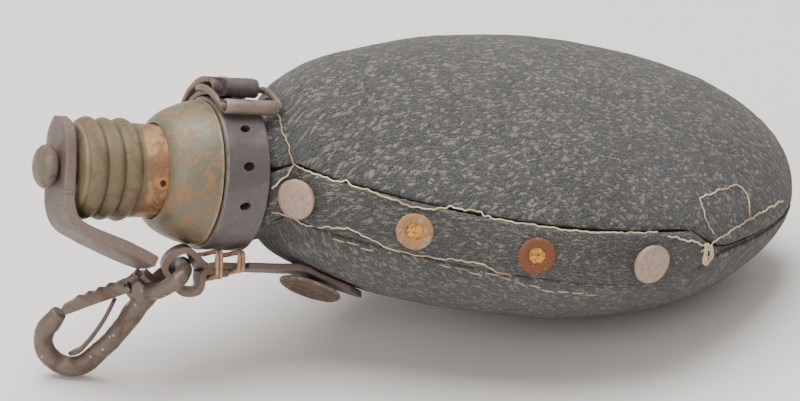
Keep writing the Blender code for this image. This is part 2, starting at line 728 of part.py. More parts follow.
def layer_depth(layer):
    """Distance from the neck axis of the middle of a bound layer, 0 next to the neck."""
    return HARNESS_TOP + HARNESS_THICK / 2 + layer * (HARNESS_THICK + GAP)


def make_loop(parent):
    """Teardrop of strap round the crossbar of the hook; both tails are bound together."""
    to_flask = hook_matrix()
    skew = Matrix.Rotation(-EYE_SKEW, 4, "Y")
    eye = to_flask @ skew

    def near_bar(s, v):
        inner_face = Vector((s * MM, v * MM, 0))
        return eye @ (inner_face + inner_face.normalized() * HARNESS_THICK / 2)

    across_eye = (eye.to_3x3() @ Vector((0, 0, 1))).normalized()
    upper, lower = layer_depth(1), layer_depth(2)
    corners = [(harness(-13.6 * MM, lower), 0), (harness(-17.4 * MM, lower), 0),
               (harness(-20.6 * MM, lower), 0.2), (near_bar(1.40, 6.47), 0.8),
               (near_bar(4.11, 3.94), 1), (near_bar(3.55, 0.16), 1), (near_bar(2.78, -3.28), 1),
               (near_bar(-0.33, -4.15), 0.95), (near_bar(-3.80, -2.39), 0.8),
               (harness(-20.6 * MM, upper), 0.1), (harness(-17.4 * MM, upper), 0),
               (harness(-9.2 * MM, upper), 0)]
    path = smooth_path([p for p, _ in corners], 3)
    acrosses = []
    for k in range(len(path)):
        low = min(k // 3, len(corners) - 2)
        mix = corners[low][1] + (corners[low + 1][1] - corners[low][1]) * (k / 3 - low)
        acrosses.append((ACROSS * (1 - mix) + across_eye * mix).normalized())
    body = strap(path, [LOOP_HALF_WIDTH] * len(path), acrosses, HARNESS_THICK)
    return finish(body, "hook_loop", ((0.24, 0.18, 0.16), 0.55, 0), parent)


def back_strap_depth(x, side):
    """The strap runs straight on from the loop until the wool's shoulder is deeper."""
    skin = cover_reach(x, side) if x > -1 * MM else 0
    return max(layer_depth(1) - HARNESS_THICK / 2, skin + 1.5 * GAP)


def make_back_strap(parent):
    """Starts against the loop's upper tail and follows the shoulder past the disc rivet."""
    half = STRAP_WIDTH / 2 * 0.94
    across_steps = 4
    start, stop = -8.8 * MM, BACK_STRAP_END_X
    steps = 18
    rings = []
    for k in range(steps + 1):
        x = start + (stop - start) * k / steps
        short = max(1 - (stop - x) / half, 0)
        w = half * math.sqrt(max(END_BLUNTNESS, 1 - short ** 2))
        outer, inner = [], []
        for n in range(across_steps + 1):
            side = -w + 2 * w * n / across_steps
            depth = back_strap_depth(x, side)
            inner.append(harness(x, depth, side))
            outer.append(harness(x, depth + HARNESS_THICK, side))
        rings.append(outer + inner[::-1])
    return finish(loft(rings), "back_strap", ((0.13, 0.10, 0.11), 0.4, 0), parent)


def make_disc_rivet(parent, back):
    near = 3 * MM
    depth = back_strap_depth(DISC_X, 0) + HARNESS_THICK
    ahead = (back_strap_depth(DISC_X + near, 0) - back_strap_depth(DISC_X - near, 0)) / (2 * near)
    tilt = (back_strap_depth(DISC_X, near) - back_strap_depth(DISC_X, -near)) / (2 * near)
    normal = (DOWN - Vector((ahead, 0, 0)) - ACROSS * tilt).normalized()
    normal = (normal + ACROSS * math.tan(DISC_TILT)).normalized()
    place = harness(DISC_X, depth) + normal * (DISC_RADIUS * math.sin(DISC_TILT) + 2 * GAP)
    spot = facing(place, normal, parent, "disc_rivet_place")
    r = DISC_RADIUS
    profile = [(0, -HARNESS_THICK), (DISC_SHANK, -HARNESS_THICK), (DISC_SHANK, 0), (r, 0),
               (r, 0.7 * MM), (r * 0.92, 1.2 * MM), (r * 0.62, 1.5 * MM), (r * 0.55, 1.1 * MM),
               (0, 1.0 * MM)]
    finish(button(profile, 32), "disc_rivet", ((0.38, 0.33, 0.28), 0.5, 0.85), spot)
    cut(back, round_cutter("disc_hole", place, normal, DISC_SHANK + GAP, 6 * HARNESS_THICK, parent))


def make_bindings(parent):
    """Flat wire staples that bind the layers of strap."""
    half = STRAP_WIDTH / 2 + GAP
    for k, (x, layers) in enumerate(zip(BAR_X, (3, 2))):
        top = HARNESS_TOP - GAP
        low = layer_depth(layers - 1) + HARNESS_THICK / 2 + GAP
        thick = BINDING_WIRE
        outside = [(-half - thick, top - thick), (half + thick, top - thick),
                   (half + thick, low + thick), (-half - thick, low + thick)]
        inside = [(-half, top), (half, top), (half, low), (-half, low)]
        bm = bmesh.new()
        rows = []
        for outline, xx in ((outside, x - BAR_WIDTH / 2), (outside, x + BAR_WIDTH / 2),
                            (inside, x + BAR_WIDTH / 2), (inside, x - BAR_WIDTH / 2)):
            rows.append([bm.verts.new(harness(xx, d, w)) for w, d in outline])
        for a, b in zip(rows, rows[1:] + rows[:1]):
            for i in range(4):
                j = (i + 1) % 4
                bm.faces.new((a[i], a[j], b[j], b[i]))
        finish(bm, f"loop_binding_{k + 1}", ((0.45, 0.30, 0.22), 0.6, 0.2), parent)


# ---------------------------------------------------------------- snap hook

def hook_matrix():
    """Local X runs down the shank, Y away from the gate, Z out of the hook's plane."""
    level = Vector((-math.cos(HOOK_HEADING), math.sin(HOOK_HEADING), 0))
    shank = level * math.cos(HOOK_DIP) + Vector((0, 0, -math.sin(HOOK_DIP)))
    normal = Vector((-math.sin(HOOK_HEADING), -math.cos(HOOK_HEADING), 0))
    back = normal.cross(shank)
    turn = Matrix((shank, back, normal)).transposed()
    tip = Matrix.Rotation(-LYING_PITCH, 3, "Y")
    local = tip @ turn
    return Matrix.Translation(harness(HOOK_X, HOOK_DEPTH, HOOK_ASIDE)) @ local.to_4x4()


def flat(points):
    return [Vector((s, v, 0)) for s, v in points]


def make_hook(parent):
    axis = empty("hook_swing_axis", hook_matrix(), parent)
    # eye: crossbar with two arms that close on the shoulder
    w = EYE_HALF_WIDTH + EYE_ROD
    skew = Matrix.Rotation(-EYE_SKEW, 3, "Y")
    bar = [skew @ Vector((0, 0, w * f)) for f in (-0.6, 0, 0.6)]
    ends = [skew @ Vector((2.6 * MM, 0, w * f)) for f in (-1, 1)]
    ring = bar + [ends[1], Vector((7.2 * MM, -0.9 * MM, w * 0.80)), Vector((SHOULDER_S, -2.2 * MM, 0)),
                  Vector((8.4 * MM, -0.9 * MM, -w * 0.78)), ends[0]]
    path = smooth_path([ring[-1]] + ring + [ring[0], ring[1]], 3)[3:-3]
    eye = rod(path[:-1], [EYE_ROD] * (len(path) - 1), Vector((0, 1, 0)), 10, closed=True)
    eye_obj = finish(eye, "hook_body", ((0.36, 0.29, 0.25), 0.5, 0.85), axis)
    # shank and bend of the hook
    bend = arc(BEND_CENTRE, BEND_RADIUS, 90, -95, 12)
    line = flat([(SHOULDER_S - 1.0 * MM, -2.4 * MM), (18.5 * MM, -0.6 * MM), (25 * MM, 1.0 * MM),
                 (33 * MM, 2.1 * MM)] + bend + [(TIP_S, TIP_V)])
    radii = [4.2 * MM, 3.4 * MM, HOOK_ROD, HOOK_ROD * 0.95] + [HOOK_ROD] * len(bend) + [HOOK_ROD * 0.8]
    shank = finish(rod(line, radii, Vector((0, 0, 1)), 12), "hook_shank_tool",
                   ((0.4, 0.3, 0.3), 0.5, 0.9), axis)
    block = bmesh.new()
    bmesh.ops.create_cube(block, size=1)
    bmesh.ops.scale(block, verts=block.verts, vec=(9.0 * MM, 9.0 * MM, 8.0 * MM))
    bmesh.ops.translate(block, verts=block.verts, vec=(13.4 * MM, -4.0 * MM, 0))
    bmesh.ops.bevel(block, geom=block.edges, offset=1.8 * MM, segments=2, affect="EDGES")
    block_obj = finish(block, "hook_block_tool", ((0.4, 0.3, 0.3), 0.5, 0.9), axis)
    slot = bmesh.new()
    bmesh.ops.create_cube(slot, size=1)
    bmesh.ops.scale(slot, verts=slot.verts, vec=(9 * MM, 10 * MM, GATE_THICK + 2 * GAP))
    bmesh.ops.translate(slot, verts=slot.verts, vec=(PIVOT_S + 1.6 * MM, PIVOT_V - 1.2 * MM, 0))
    slot_obj = finish(slot, "hook_slot_tool", ((0.4, 0.3, 0.3), 0.5, 0.9), axis)
    pin_hole = round_cutter("gate_pin_hole", Vector((PIVOT_S, PIVOT_V, 0)), Vector((0, 0, 1)),
                            GATE_PIN_RADIUS + GAP, 20 * MM, axis, 12)
    for tool, operation in ((shank, "UNION"), (block_obj, "UNION"), (slot_obj, "DIFFERENCE"),
                            (pin_hole, "DIFFERENCE")):
        tool.hide_render = True
        tool.display_type = "WIRE"
        step = eye_obj.modifiers.new(tool.name, "BOOLEAN")
        step.operation = operation
        step.solver = "EXACT"
        step.use_self = operation == "UNION"
        step.object = tool
    # gate
    gate_axis = empty("gate_axis", Matrix.Translation((PIVOT_S, PIVOT_V, 0)), axis)
    reach = Vector((TIP_S, TIP_V)) - Vector((PIVOT_S, PIVOT_V))
    along = reach.normalized()
    out = Vector((-along.y, along.x))
    length = reach.length - HOOK_ROD * 0.8 + 0.9 * MM
    tip = [(length, 1.3 * MM), (length, -1.3 * MM)]
    heel = [(length * 0.5, -1.5 * MM), (1.2 * MM, -1.9 * MM), (-1.2 * MM, -1.6 * MM),
           (-1.9 * MM, 0), (-1.2 * MM, 1.6 * MM), (1.5 * MM, 1.9 * MM)]
    bumps = []
    for k in range(GATE_TEETH):
        s0 = 4.5 * MM + 3.4 * MM * k
        bumps += [(s0, 1.6 * MM), (s0 + 1.5 * MM, 2.3 * MM)]
    outline = tip + heel + bumps + [(18.6 * MM, 1.6 * MM)]
    section = [along * a - out * b for a, b in outline]
    rings = [[Vector((p.x, p.y, z)) for p in section] for z in (-GATE_THICK / 2, GATE_THICK / 2)]
    gate = finish(loft(rings), "hook_gate", ((0.38, 0.32, 0.28), 0.5, 0.85), gate_axis, 30)
    cut(gate, round_cutter("gate_bore", Vector((0, 0, 0)), Vector((0, 0, 1)),
                           GATE_PIN_RADIUS + GAP, 20 * MM, gate_axis, 12))
    bm = bmesh.new()
    bmesh.ops.create_cone(bm, cap_ends=True, segments=12, radius1=GATE_PIN_RADIUS,
                          radius2=GATE_PIN_RADIUS, depth=8.2 * MM,
                          matrix=Matrix.Translation((PIVOT_S, PIVOT_V, 0)))
    finish(bm, "gate_pin", ((0.45, 0.40, 0.35), 0.5, 0.9), axis)
    # spring: a folded leaf between the gate and the shank
    spring = smooth_path(flat([(22.6 * MM, -6.2 * MM), (29 * MM, -4.0 * MM), (35.5 * MM, -2.6 * MM),
                               (38.6 * MM, -2.2 * MM), (42.0 * MM, -2.0 * MM), (45.4 * MM, -3.2 * MM)]), 3)
    halves = [1.7 * MM] * len(spring)
    halves[-1] = 0.6 * MM
    halves[-2] = 1.2 * MM
    bm = strap(spring, halves, [Vector((0, 0, 1))] * len(spring), LEAF_THICK)
    finish(bm, "gate_spring", ((0.36, 0.30, 0.26), 0.5, 0.85), axis)


# ---------------------------------------------------------------- assembly

def lowest_and_middle():
    """Bounds of all real pieces, used to stand the part on its origin."""
    graph = bpy.context.evaluated_depsgraph_get()
    low = Vector((1e9, 1e9, 1e9))
    high = -low
    for obj in bpy.data.objects:
        if obj.type == "MESH" and not obj.hide_render:
            for v in obj.evaluated_get(graph).data.vertices:
                p = obj.matrix_world @ v.co
                low = Vector(map(min, low, p))
                high = Vector(map(max, high, p))
    return low, high


def main():
    clear_scene()
    pose = empty("lying_pose", Matrix.Rotation(LYING_PITCH, 4, "Y"), None)
    make_flask(pose)
    make_neck(pose)
    panel("cover_top_panel", pose, 1)
    panel("cover_bottom_panel", pose, -1)
    flap = make_flap(pose)
    make_press_studs(pose, flap)
    make_collar(pose)
    lift = empty("cap_axis", Matrix.Identity(4), pose)
    make_cap(lift)
    make_cap_seal(lift)
    make_cap_stud(lift)
    make_neck_strap(pose)
    make_buckle(pose)
    make_cap_strap(pose, lift)
    make_loop(pose)
    back = make_back_strap(pose)
    make_disc_rivet(pose, back)
    make_bindings(pose)
    make_hook(pose)
    low, high = lowest_and_middle()
    pose.location = (-(low.x + high.x) / 2, -(low.y + high.y) / 2, -low.z)


main()
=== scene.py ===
# %% [markdown]
# # A wool-covered field flask
# This notebook dresses the plain solids of a flask in wool, leather, enamel and rusted steel.
# The solids are loaded first as a fixed frame. Each visible piece is then modelled over its solid
# and rides on the same moving body, so the cap still screws and the hook still swings.

# %% Load the frame
import json
import math

import bpy
import numpy as np
from mathutils import Matrix, Vector
from mathutils.bvhtree import BVHTree


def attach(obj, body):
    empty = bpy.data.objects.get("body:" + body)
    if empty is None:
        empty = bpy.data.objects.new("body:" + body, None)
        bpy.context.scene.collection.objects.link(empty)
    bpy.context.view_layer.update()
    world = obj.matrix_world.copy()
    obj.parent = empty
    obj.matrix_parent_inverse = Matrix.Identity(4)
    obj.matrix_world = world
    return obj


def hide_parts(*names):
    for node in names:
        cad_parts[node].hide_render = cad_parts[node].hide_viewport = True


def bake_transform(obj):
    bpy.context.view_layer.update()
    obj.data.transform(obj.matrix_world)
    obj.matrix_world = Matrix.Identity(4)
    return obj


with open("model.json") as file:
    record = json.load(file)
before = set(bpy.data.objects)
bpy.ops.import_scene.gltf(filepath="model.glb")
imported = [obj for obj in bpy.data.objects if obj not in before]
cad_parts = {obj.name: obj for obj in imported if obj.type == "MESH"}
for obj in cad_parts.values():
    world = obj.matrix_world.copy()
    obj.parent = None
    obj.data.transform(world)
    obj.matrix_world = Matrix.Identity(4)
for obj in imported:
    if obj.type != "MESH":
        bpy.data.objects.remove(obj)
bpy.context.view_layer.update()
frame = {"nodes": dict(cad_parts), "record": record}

# %% [markdown]
# ## Measuring in the flask's own frame
# The flask lies with its neck tipped up, so every piece would be awkward to place in the world.
# The screw cap's joint gives the neck's axis. A matrix made from it lets each piece be drawn with
# x along the neck, and then tipped into place, in millimetres.

# %% The flask's frame
MM = 0.001
joints = {joint["name"]: joint for joint in frame["record"]["behaviour"]["joints"]}
neck_direction = -Vector(joints["cap_turn"]["axis"]).normalized()
neck_up = neck_direction.cross(Vector((0, 1, 0))).normalized()
flask = Matrix((neck_direction, neck_up.cross(neck_direction), neck_up)).transposed().to_4x4()
flask.translation = Vector(joints["cap_turn"]["pos_m"])
to_flask = flask.inverted()


def at(x, y, z):
    """A place given in millimetres in the flask's frame."""
    return flask @ (Vector((x, y, z)) * MM)


print("neck axis runs along", tuple(round(c, 3) for c in neck_direction))

# %% [markdown]
# ## The studio
# A flask photographed for a catalogue stands on pale paper under one large soft light. The floor
# here is one big plane. The main light is wide and high, so the shadows have no hard edge, and a
# weaker one from the left opens the dark side of the wool.

# %% Camera, floor and lights
camera_data = bpy.data.cameras.new("catalogue camera")
camera_data.lens = 214.5
camera_data.sensor_width = 36
camera = bpy.data.objects.new("catalogue camera", camera_data)
bpy.context.collection.objects.link(camera)
camera.location = (-0.4864, -1.1678, 0.6195)
view_direction = Vector((0.34467, 0.84104, -0.41697))
camera.rotation_euler = view_direction.to_track_quat("-Z", "Y").to_euler()
bpy.context.scene.camera = camera


def soft_light(name, place, size, power, colour):
    """A square lamp that looks at the middle of the flask."""
    data = bpy.data.lights.new(name, "AREA")
    data.size = size
    data.energy = power
    data.color = colour
    lamp = bpy.data.objects.new(name, data)
    bpy.context.collection.objects.link(lamp)
    lamp.location = place
    lamp.rotation_euler = (Vector((0, 0, 0.03)) - Vector(place)).to_track_quat("-Z", "Y").to_euler()


soft_light("top light", (-0.2, 0.15, 1.25), 1.1, 30, (1.0, 0.985, 0.96))
soft_light("left light", (-1.2, -1.1, 0.8), 1.1, 13, (1.0, 0.98, 0.95))
world = bpy.data.worlds.new("studio air")
world.use_nodes = True
world.node_tree.nodes["Background"].inputs["Color"].default_value = (0.84, 0.815, 0.79, 1)
world.node_tree.nodes["Background"].inputs["Strength"].default_value = 0.78
bpy.context.scene.world = world
bpy.ops.object.select_all(action="DESELECT")
bpy.ops.mesh.primitive_plane_add(size=6, location=(0, 0, 0))
floor = bpy.context.object
floor.name = "paper_floor"
print("camera at", tuple(camera.location))

# %% [markdown]
# ## Node helpers
# Each finish is a few procedural nodes. These helpers add a node, set it and join its inputs in one
# call, and start a node group with named inputs and outputs, which several finishes can share.

# %% Node helpers
def paint(red, green, blue):
    """A colour as read off a colour card, 0 to 255, in the linear values that shaders use."""
    linear = []
    for value in (red, green, blue):
        share = value / 255
        linear.append(share / 12.92 if share < 0.04 else ((share + 0.055) / 1.055) ** 2.4)
    return (*linear, 1)


def node(tree, kind, inputs, **settings):
    """A node with its settings, and its inputs joined or filled in."""
    made = tree.nodes.new(kind)
    for key, value in settings.items():
        setattr(made, key, value)
    for key, value in inputs.items():
        if isinstance(value, bpy.types.NodeSocket):
            tree.links.new(value, made.inputs[key])
        else:
            made.inputs[key].default_value = value
    return made


def cloudy(tree, vector, scale, detail=6.0, roughness=0.6, distortion=0.0):
    """Noise from 0 to 1."""
    return node(tree, "ShaderNodeTexNoise", {"Vector": vector, "Scale": scale, "Detail": detail,
                "Roughness": roughness, "Distortion": distortion}).outputs["Fac"]


def between(tree, value, low, high, to_low=0.0, to_high=1.0):
    """A soft step of a value from low to high."""
    return node(tree, "ShaderNodeMapRange", {"Value": value, "From Min": low, "From Max": high,
                "To Min": to_low, "To Max": to_high},
                interpolation_type="SMOOTHSTEP").outputs["Result"]


def sum_of(tree, operation, first, second):
    return node(tree, "ShaderNodeMath", {0: first, 1: second}, operation=operation).outputs[0]


def mixed(tree, share, first, second, how="MIX"):
    """Colour mix; the colour sockets of a Mix node are numbers 6 and 7."""
    made = node(tree, "ShaderNodeMix", {0: share}, data_type="RGBA", blend_type=how)
    for slot, value in ((6, first), (7, second)):
        if isinstance(value, bpy.types.NodeSocket):
            tree.links.new(value, made.inputs[slot])
        else:
            made.inputs[slot].default_value = value
    return made.outputs[2]


def start_group(name, inputs, outputs):
    """An empty node group with named sockets; returns it with its two end nodes."""
    group = bpy.data.node_groups.new(name, "ShaderNodeTree")
    for label, kind, value in inputs:
        socket = group.interface.new_socket(label, in_out="INPUT", socket_type=kind)
        if value is not None:
            socket.default_value = value
    for label, kind in outputs:
        group.interface.new_socket(label, in_out="OUTPUT", socket_type=kind)
    return group, group.nodes.new("NodeGroupInput"), group.nodes.new("NodeGroupOutput")


def use_group(tree, group, inputs):
    return node(tree, "ShaderNodeGroup", inputs, node_tree=group)


def start_material(name, **constants):
    """A material with its Principled shader; constants are set on the shader's own sockets."""
    made = bpy.data.materials.new(name)
    made.use_nodes = True
    shader = made.node_tree.nodes["Principled BSDF"]
    for label, value in constants.items():
        shader.inputs[label.replace("_", " ")].default_value = value
    place = node(made.node_tree, "ShaderNodeTexCoord", {}).outputs["Object"]
    return made, made.node_tree, shader, place


def finish_material(tree, shader, colour, roughness, height, depth, metallic=None):
    """Join the colour, roughness and bump to the shader."""
    tree.links.new(colour, shader.inputs["Base Color"])
    tree.links.new(roughness, shader.inputs["Roughness"])
    bump = node(tree, "ShaderNodeBump", {"Height": height, "Strength": 1.0, "Distance": depth})
    tree.links.new(bump.outputs["Normal"], shader.inputs["Normal"])
    if metallic is not None:
        tree.links.new(metallic, shader.inputs["Metallic"])


COLOUR, VALUE, VECTOR = "NodeSocketColor", "NodeSocketFloat", "NodeSocketVector"
print("node helpers ready")

# %% [markdown]
# ## Patina
# Rust on steel, stains in enamel and tarnish on a plated stud are one effect in different colours:
# broad patches of a second colour, small hard spots of a third, and a fine grain over both. The
# group works in metres, so a scale of 200 makes patches of about 5 mm. It gives a colour, a mask
# of where the surface has gone, and a height.

# %% Patina group
patina, ends_in, ends_out = start_group(
    "patina",
    [("Vector", VECTOR, None), ("Ground", COLOUR, (0.2, 0.2, 0.2, 1)),
     ("Patch", COLOUR, (0.3, 0.2, 0.1, 1)), ("Spot", COLOUR, (0.1, 0.05, 0.03, 1)),
     ("Patch scale", VALUE, 200.0), ("Patch amount", VALUE, 0.5),
     ("Spot scale", VALUE, 900.0), ("Spot amount", VALUE, 0.3)],
    [("Colour", COLOUR), ("Mask", VALUE), ("Height", VALUE)])
where = ends_in.outputs["Vector"]
broad = cloudy(patina, where, ends_in.outputs["Patch scale"], 9, 0.68, 0.6)
start = sum_of(patina, "SUBTRACT", 0.72, sum_of(patina, "MULTIPLY", ends_in.outputs["Patch amount"], 0.36))
patches = between(patina, broad, sum_of(patina, "SUBTRACT", start, 0.05),
                  sum_of(patina, "ADD", start, 0.07))
small = cloudy(patina, where, ends_in.outputs["Spot scale"], 5, 0.6, 0.3)
limit = sum_of(patina, "SUBTRACT", 0.78, sum_of(patina, "MULTIPLY", ends_in.outputs["Spot amount"], 0.3))
spots = between(patina, small, limit, sum_of(patina, "ADD", limit, 0.05))
fine = cloudy(patina, where, 3200.0, 4, 0.7)
colour = mixed(patina, patches, ends_in.outputs["Ground"], ends_in.outputs["Patch"])
colour = mixed(patina, spots, colour, ends_in.outputs["Spot"])
shade = node(patina, "ShaderNodeHueSaturation",
             {"Value": between(patina, fine, 0.25, 0.75, 0.80, 1.22), "Color": colour}).outputs["Color"]
patina.links.new(shade, ends_out.inputs["Colour"])
patina.links.new(sum_of(patina, "MAXIMUM", patches, spots), ends_out.inputs["Mask"])
height = sum_of(patina, "ADD", sum_of(patina, "MULTIPLY", patches, 0.35),
                sum_of(patina, "MULTIPLY", fine, 0.5))
height = sum_of(patina, "SUBTRACT", height, sum_of(patina, "MULTIPLY", spots, 0.5))
patina.links.new(height, ends_out.inputs["Height"])
print("patina group has", len(patina.nodes), "nodes")

# %% [markdown]
# ## Edge wear
# Raised edges lose their finish first. Pointiness tells how convex the mesh is at each place. The
# group turns it into a mask that is broken up by noise, so that the wear is never an even line.

# %% Edge wear group
edge_wear, ends_in, ends_out = start_group(
    "edge wear", [("Vector", VECTOR, None), ("From", VALUE, 0.52), ("To", VALUE, 0.60)],
    [("Mask", VALUE)])
pointed = node(edge_wear, "ShaderNodeNewGeometry", {}).outputs["Pointiness"]
broken = cloudy(edge_wear, ends_in.outputs["Vector"], 700.0, 5, 0.65)
wobble = sum_of(edge_wear, "ADD", pointed, sum_of(edge_wear, "MULTIPLY",
                sum_of(edge_wear, "SUBTRACT", broken, 0.5), 0.10))
edge_wear.links.new(between(edge_wear, wobble, ends_in.outputs["From"], ends_in.outputs["To"]),
                    ends_out.inputs["Mask"])
print("edge wear group has", len(edge_wear.nodes), "nodes")

# %% [markdown]
# ## Finishes of the metal
# The cap and the collar were enamelled olive and have rusted through in patches. The hook and the
# buckle are bare steel gone brown. The press studs keep a pinkish plating. All of them use the
# patina group, and the steel adds edge wear, where handling has polished it.

# %% Metal finishes
def patina_finish(name, ground, patch, spot, sizes, bright=None, wear=(0.52, 0.60), depth=0.0004,
                  roughness=(0.42, 0.75), metal=(0.6, 0.1), **constants):
    """One of the metal finishes: colours, then patch scale, amount, spot scale, amount."""
    made, tree, shader, place = start_material(name, **constants)
    skin = use_group(tree, patina, {"Vector": place, "Ground": paint(*ground), "Patch": paint(*patch),
                     "Spot": paint(*spot), "Patch scale": sizes[0], "Patch amount": sizes[1],
                     "Spot scale": sizes[2], "Spot amount": sizes[3]})
    colour, gone = skin.outputs["Colour"], skin.outputs["Mask"]
    if bright is not None:
        worn = use_group(tree, edge_wear, {"Vector": place, "From": wear[0], "To": wear[1]}).outputs["Mask"]
        colour = mixed(tree, worn, colour, paint(*bright))
    finish_material(tree, shader, colour, between(tree, gone, 0, 1, *roughness),
                    skin.outputs["Height"], depth, between(tree, gone, 0, 1, *metal))
    return made


rusted_steel = patina_finish("rusted steel", (105, 95, 84), (93, 72, 60), (129, 86, 57),
                             (170, 0.45, 750, 0.25), (150, 138, 126), (0.53, 0.62), 0.00025,
                             (0.42, 0.68), (0.35, 0.1))
hook_steel = patina_finish("hook steel", (105, 92, 83), (89, 69, 58), (126, 79, 52),
                           (110, 0.5, 420, 0.12), (160, 148, 138), (0.53, 0.62), 0.0002,
                           (0.36, 0.6), (0.45, 0.15))
stud_plating = patina_finish("tarnished plating", (160, 140, 126), (146, 124, 108), (112, 82, 60),
                             (900, 0.5, 1900, 0.2), (150, 118, 92), (0.53, 0.60), 0.00012,
                             (0.45, 0.65), (0.3, 0.15))
ring_rust = patina_finish("rusted ring", (160, 140, 114), (166, 116, 70), (120, 76, 44),
                          (520, 0.7, 1300, 0.4), None, (0.5, 0.6), 0.0004, (0.6, 0.9), (0.2, 0.0))
dark_ring_rust = patina_finish("dark rusted ring", (134, 98, 74), (116, 70, 46), (188, 122, 62),
                               (420, 0.9, 1100, 0.5), None, (0.5, 0.6), 0.0005, (0.6, 0.9), (0.2, 0.0))
worn_roller = patina_finish("worn roller", (125, 109, 98), (53, 46, 46), (145, 110, 85),
                            (210, 0.35, 800, 0.3), (156, 142, 130), (0.53, 0.62), 0.0003,
                            (0.38, 0.62), (0.35, 0.15))
centre_rust = patina_finish("orange rust", (196, 122, 44), (226, 170, 88), (112, 56, 22),
                            (800, 0.8, 1700, 0.6), None, (0.5, 0.6), 0.0006, (0.8, 0.95), (0.0, 0.0))
disc_brass = patina_finish("tarnished disc", (102, 90, 78), (83, 64, 50), (128, 83, 50),
                           (300, 0.7, 900, 0.5), (168, 152, 138), (0.53, 0.60), 0.0003,
                           (0.4, 0.7), (0.6, 0.2))
collar_enamel = patina_finish("collar enamel", (102, 97, 79), (130, 99, 70), (141, 93, 56),
                              (230, 0.5, 700, 0.5), (150, 138, 112), (0.54, 0.62), 0.00012,
                              (0.36, 0.58), (0.15, 0.05))
copper_thread = patina_finish("copper wire", (172, 138, 118), (150, 112, 92), (104, 76, 62),
                              (500, 0.7, 1500, 0.4), None, (0.5, 0.6), 0.0001, (0.5, 0.75), (0.3, 0.1))
inner_steel = patina_finish("inside steel", (92, 88, 80), (104, 78, 58), (130, 84, 52),
                            (160, 0.7, 700, 0.4), None, (0.5, 0.6), 0.0003, (0.45, 0.8), (0.6, 0.1))
cork = patina_finish("old cork", (118, 84, 58), (92, 62, 42), (64, 42, 30),
                     (400, 0.8, 900, 0.5), None, (0.5, 0.6), 0.0004, (0.85, 0.95), (0.0, 0.0))
print("made the metal finishes")

# %% [markdown]
# ## Finish of the cap
# The cap has two finishes in one piece. Its ribs are olive enamel; their valleys are darkened with a
# painted mauve-brown shade, and their crests are lightened with a painted highlight. The plain sleeve
# under them has worn down to warm bare brass. The step between the two is placed by the distance
# along the neck, which a Mapping node reads from the object's own coordinates. One rust pit has
# broken through near the rim, dark in the middle with an orange edge.

# %% Cap finish
RIBS_END = -42.3
PIT_PLACE = at(-37.4, -13.1, 1.6)
cap_finish, tree, shader, place = start_material("cap enamel and bare sleeve")
straight = node(tree, "ShaderNodeMapping", {"Vector": place, "Location": tuple(to_flask.translation),
                "Rotation": tuple(to_flask.to_euler())}).outputs["Vector"]
along = node(tree, "ShaderNodeSeparateXYZ", {"Vector": straight}).outputs["X"]
frayed = sum_of(tree, "ADD", along, sum_of(tree, "MULTIPLY", sum_of(tree, "SUBTRACT",
                cloudy(tree, place, 260.0, 6, 0.65), 0.5), 0.003))
on_sleeve = between(tree, frayed, (RIBS_END - 0.6) * MM, (RIBS_END + 0.6) * MM)
ribs = use_group(tree, patina, {"Vector": place, "Ground": paint(116, 104, 78), "Patch": paint(112, 88, 74),
                 "Spot": paint(150, 116, 80), "Patch scale": 210.0, "Patch amount": 0.5,
                 "Spot scale": 700.0, "Spot amount": 0.4})
sleeve = use_group(tree, patina, {"Vector": place, "Ground": paint(176, 140, 100),
                   "Patch": paint(142, 106, 80), "Spot": paint(124, 88, 66), "Patch scale": 150.0,
                   "Patch amount": 0.6, "Spot scale": 560.0, "Spot amount": 0.3})
turned = node(tree, "ShaderNodeTexWave", {"Vector": straight, "Scale": 3500.0, "Distortion": 1.0,
              "Detail": 2.0}, bands_direction="X").outputs["Fac"]
cap_colour = mixed(tree, on_sleeve, ribs.outputs["Colour"], sleeve.outputs["Colour"])
rib_relief_for_painted_shade_and_highlight = node(tree, "ShaderNodeNewGeometry", {}).outputs["Pointiness"]
# Painted shade: concave places between the ribs are darkened to mauve brown. Painted highlight: the convex rib
# crests are lightened to pale olive.
cap_colour = mixed(tree, between(tree, rib_relief_for_painted_shade_and_highlight, 0.49, 0.44, 0.0, 0.7), cap_colour, paint(98, 78, 72))
cap_colour = mixed(tree, between(tree, rib_relief_for_painted_shade_and_highlight, 0.515, 0.56, 0.0, 0.5), cap_colour, paint(158, 144, 114))
pit_distance = node(tree, "ShaderNodeVectorMath", {0: place, 1: PIT_PLACE}, operation="DISTANCE")
ragged_pit = sum_of(tree, "ADD", pit_distance.outputs["Value"], sum_of(tree, "MULTIPLY",
                    sum_of(tree, "SUBTRACT", cloudy(tree, place, 520.0, 5, 0.7), 0.5), 0.0022))
cap_colour = mixed(tree, between(tree, ragged_pit, 0.0026, 0.0012, 0.0, 0.85), cap_colour, paint(206, 146, 86))
cap_colour = mixed(tree, between(tree, ragged_pit, 0.0011, 0.0006), cap_colour, paint(58, 42, 36))
cap_height = sum_of(tree, "ADD", sum_of(tree, "MULTIPLY", turned, 0.15),
                    mixed(tree, on_sleeve, ribs.outputs["Height"], sleeve.outputs["Height"]))
finish_material(tree, shader, cap_colour, between(tree, ribs.outputs["Mask"], 0, 1, 0.38, 0.6),
                cap_height, 0.00022, between(tree, on_sleeve, 0, 1, 0.25, 0.6))
print("cap finish changes at", RIBS_END, "mm along the neck")

# %% [markdown]
# ## Leather
# Old leather is smooth where it was handled and cracked where it bends. Its cut edges are paler
# and rougher than its face. Every strap carries a map called Lay: one number is the distance along
# the strap in metres, the other goes from -1 at one edge to 1 at the other, so the finish can find
# the edges by itself.

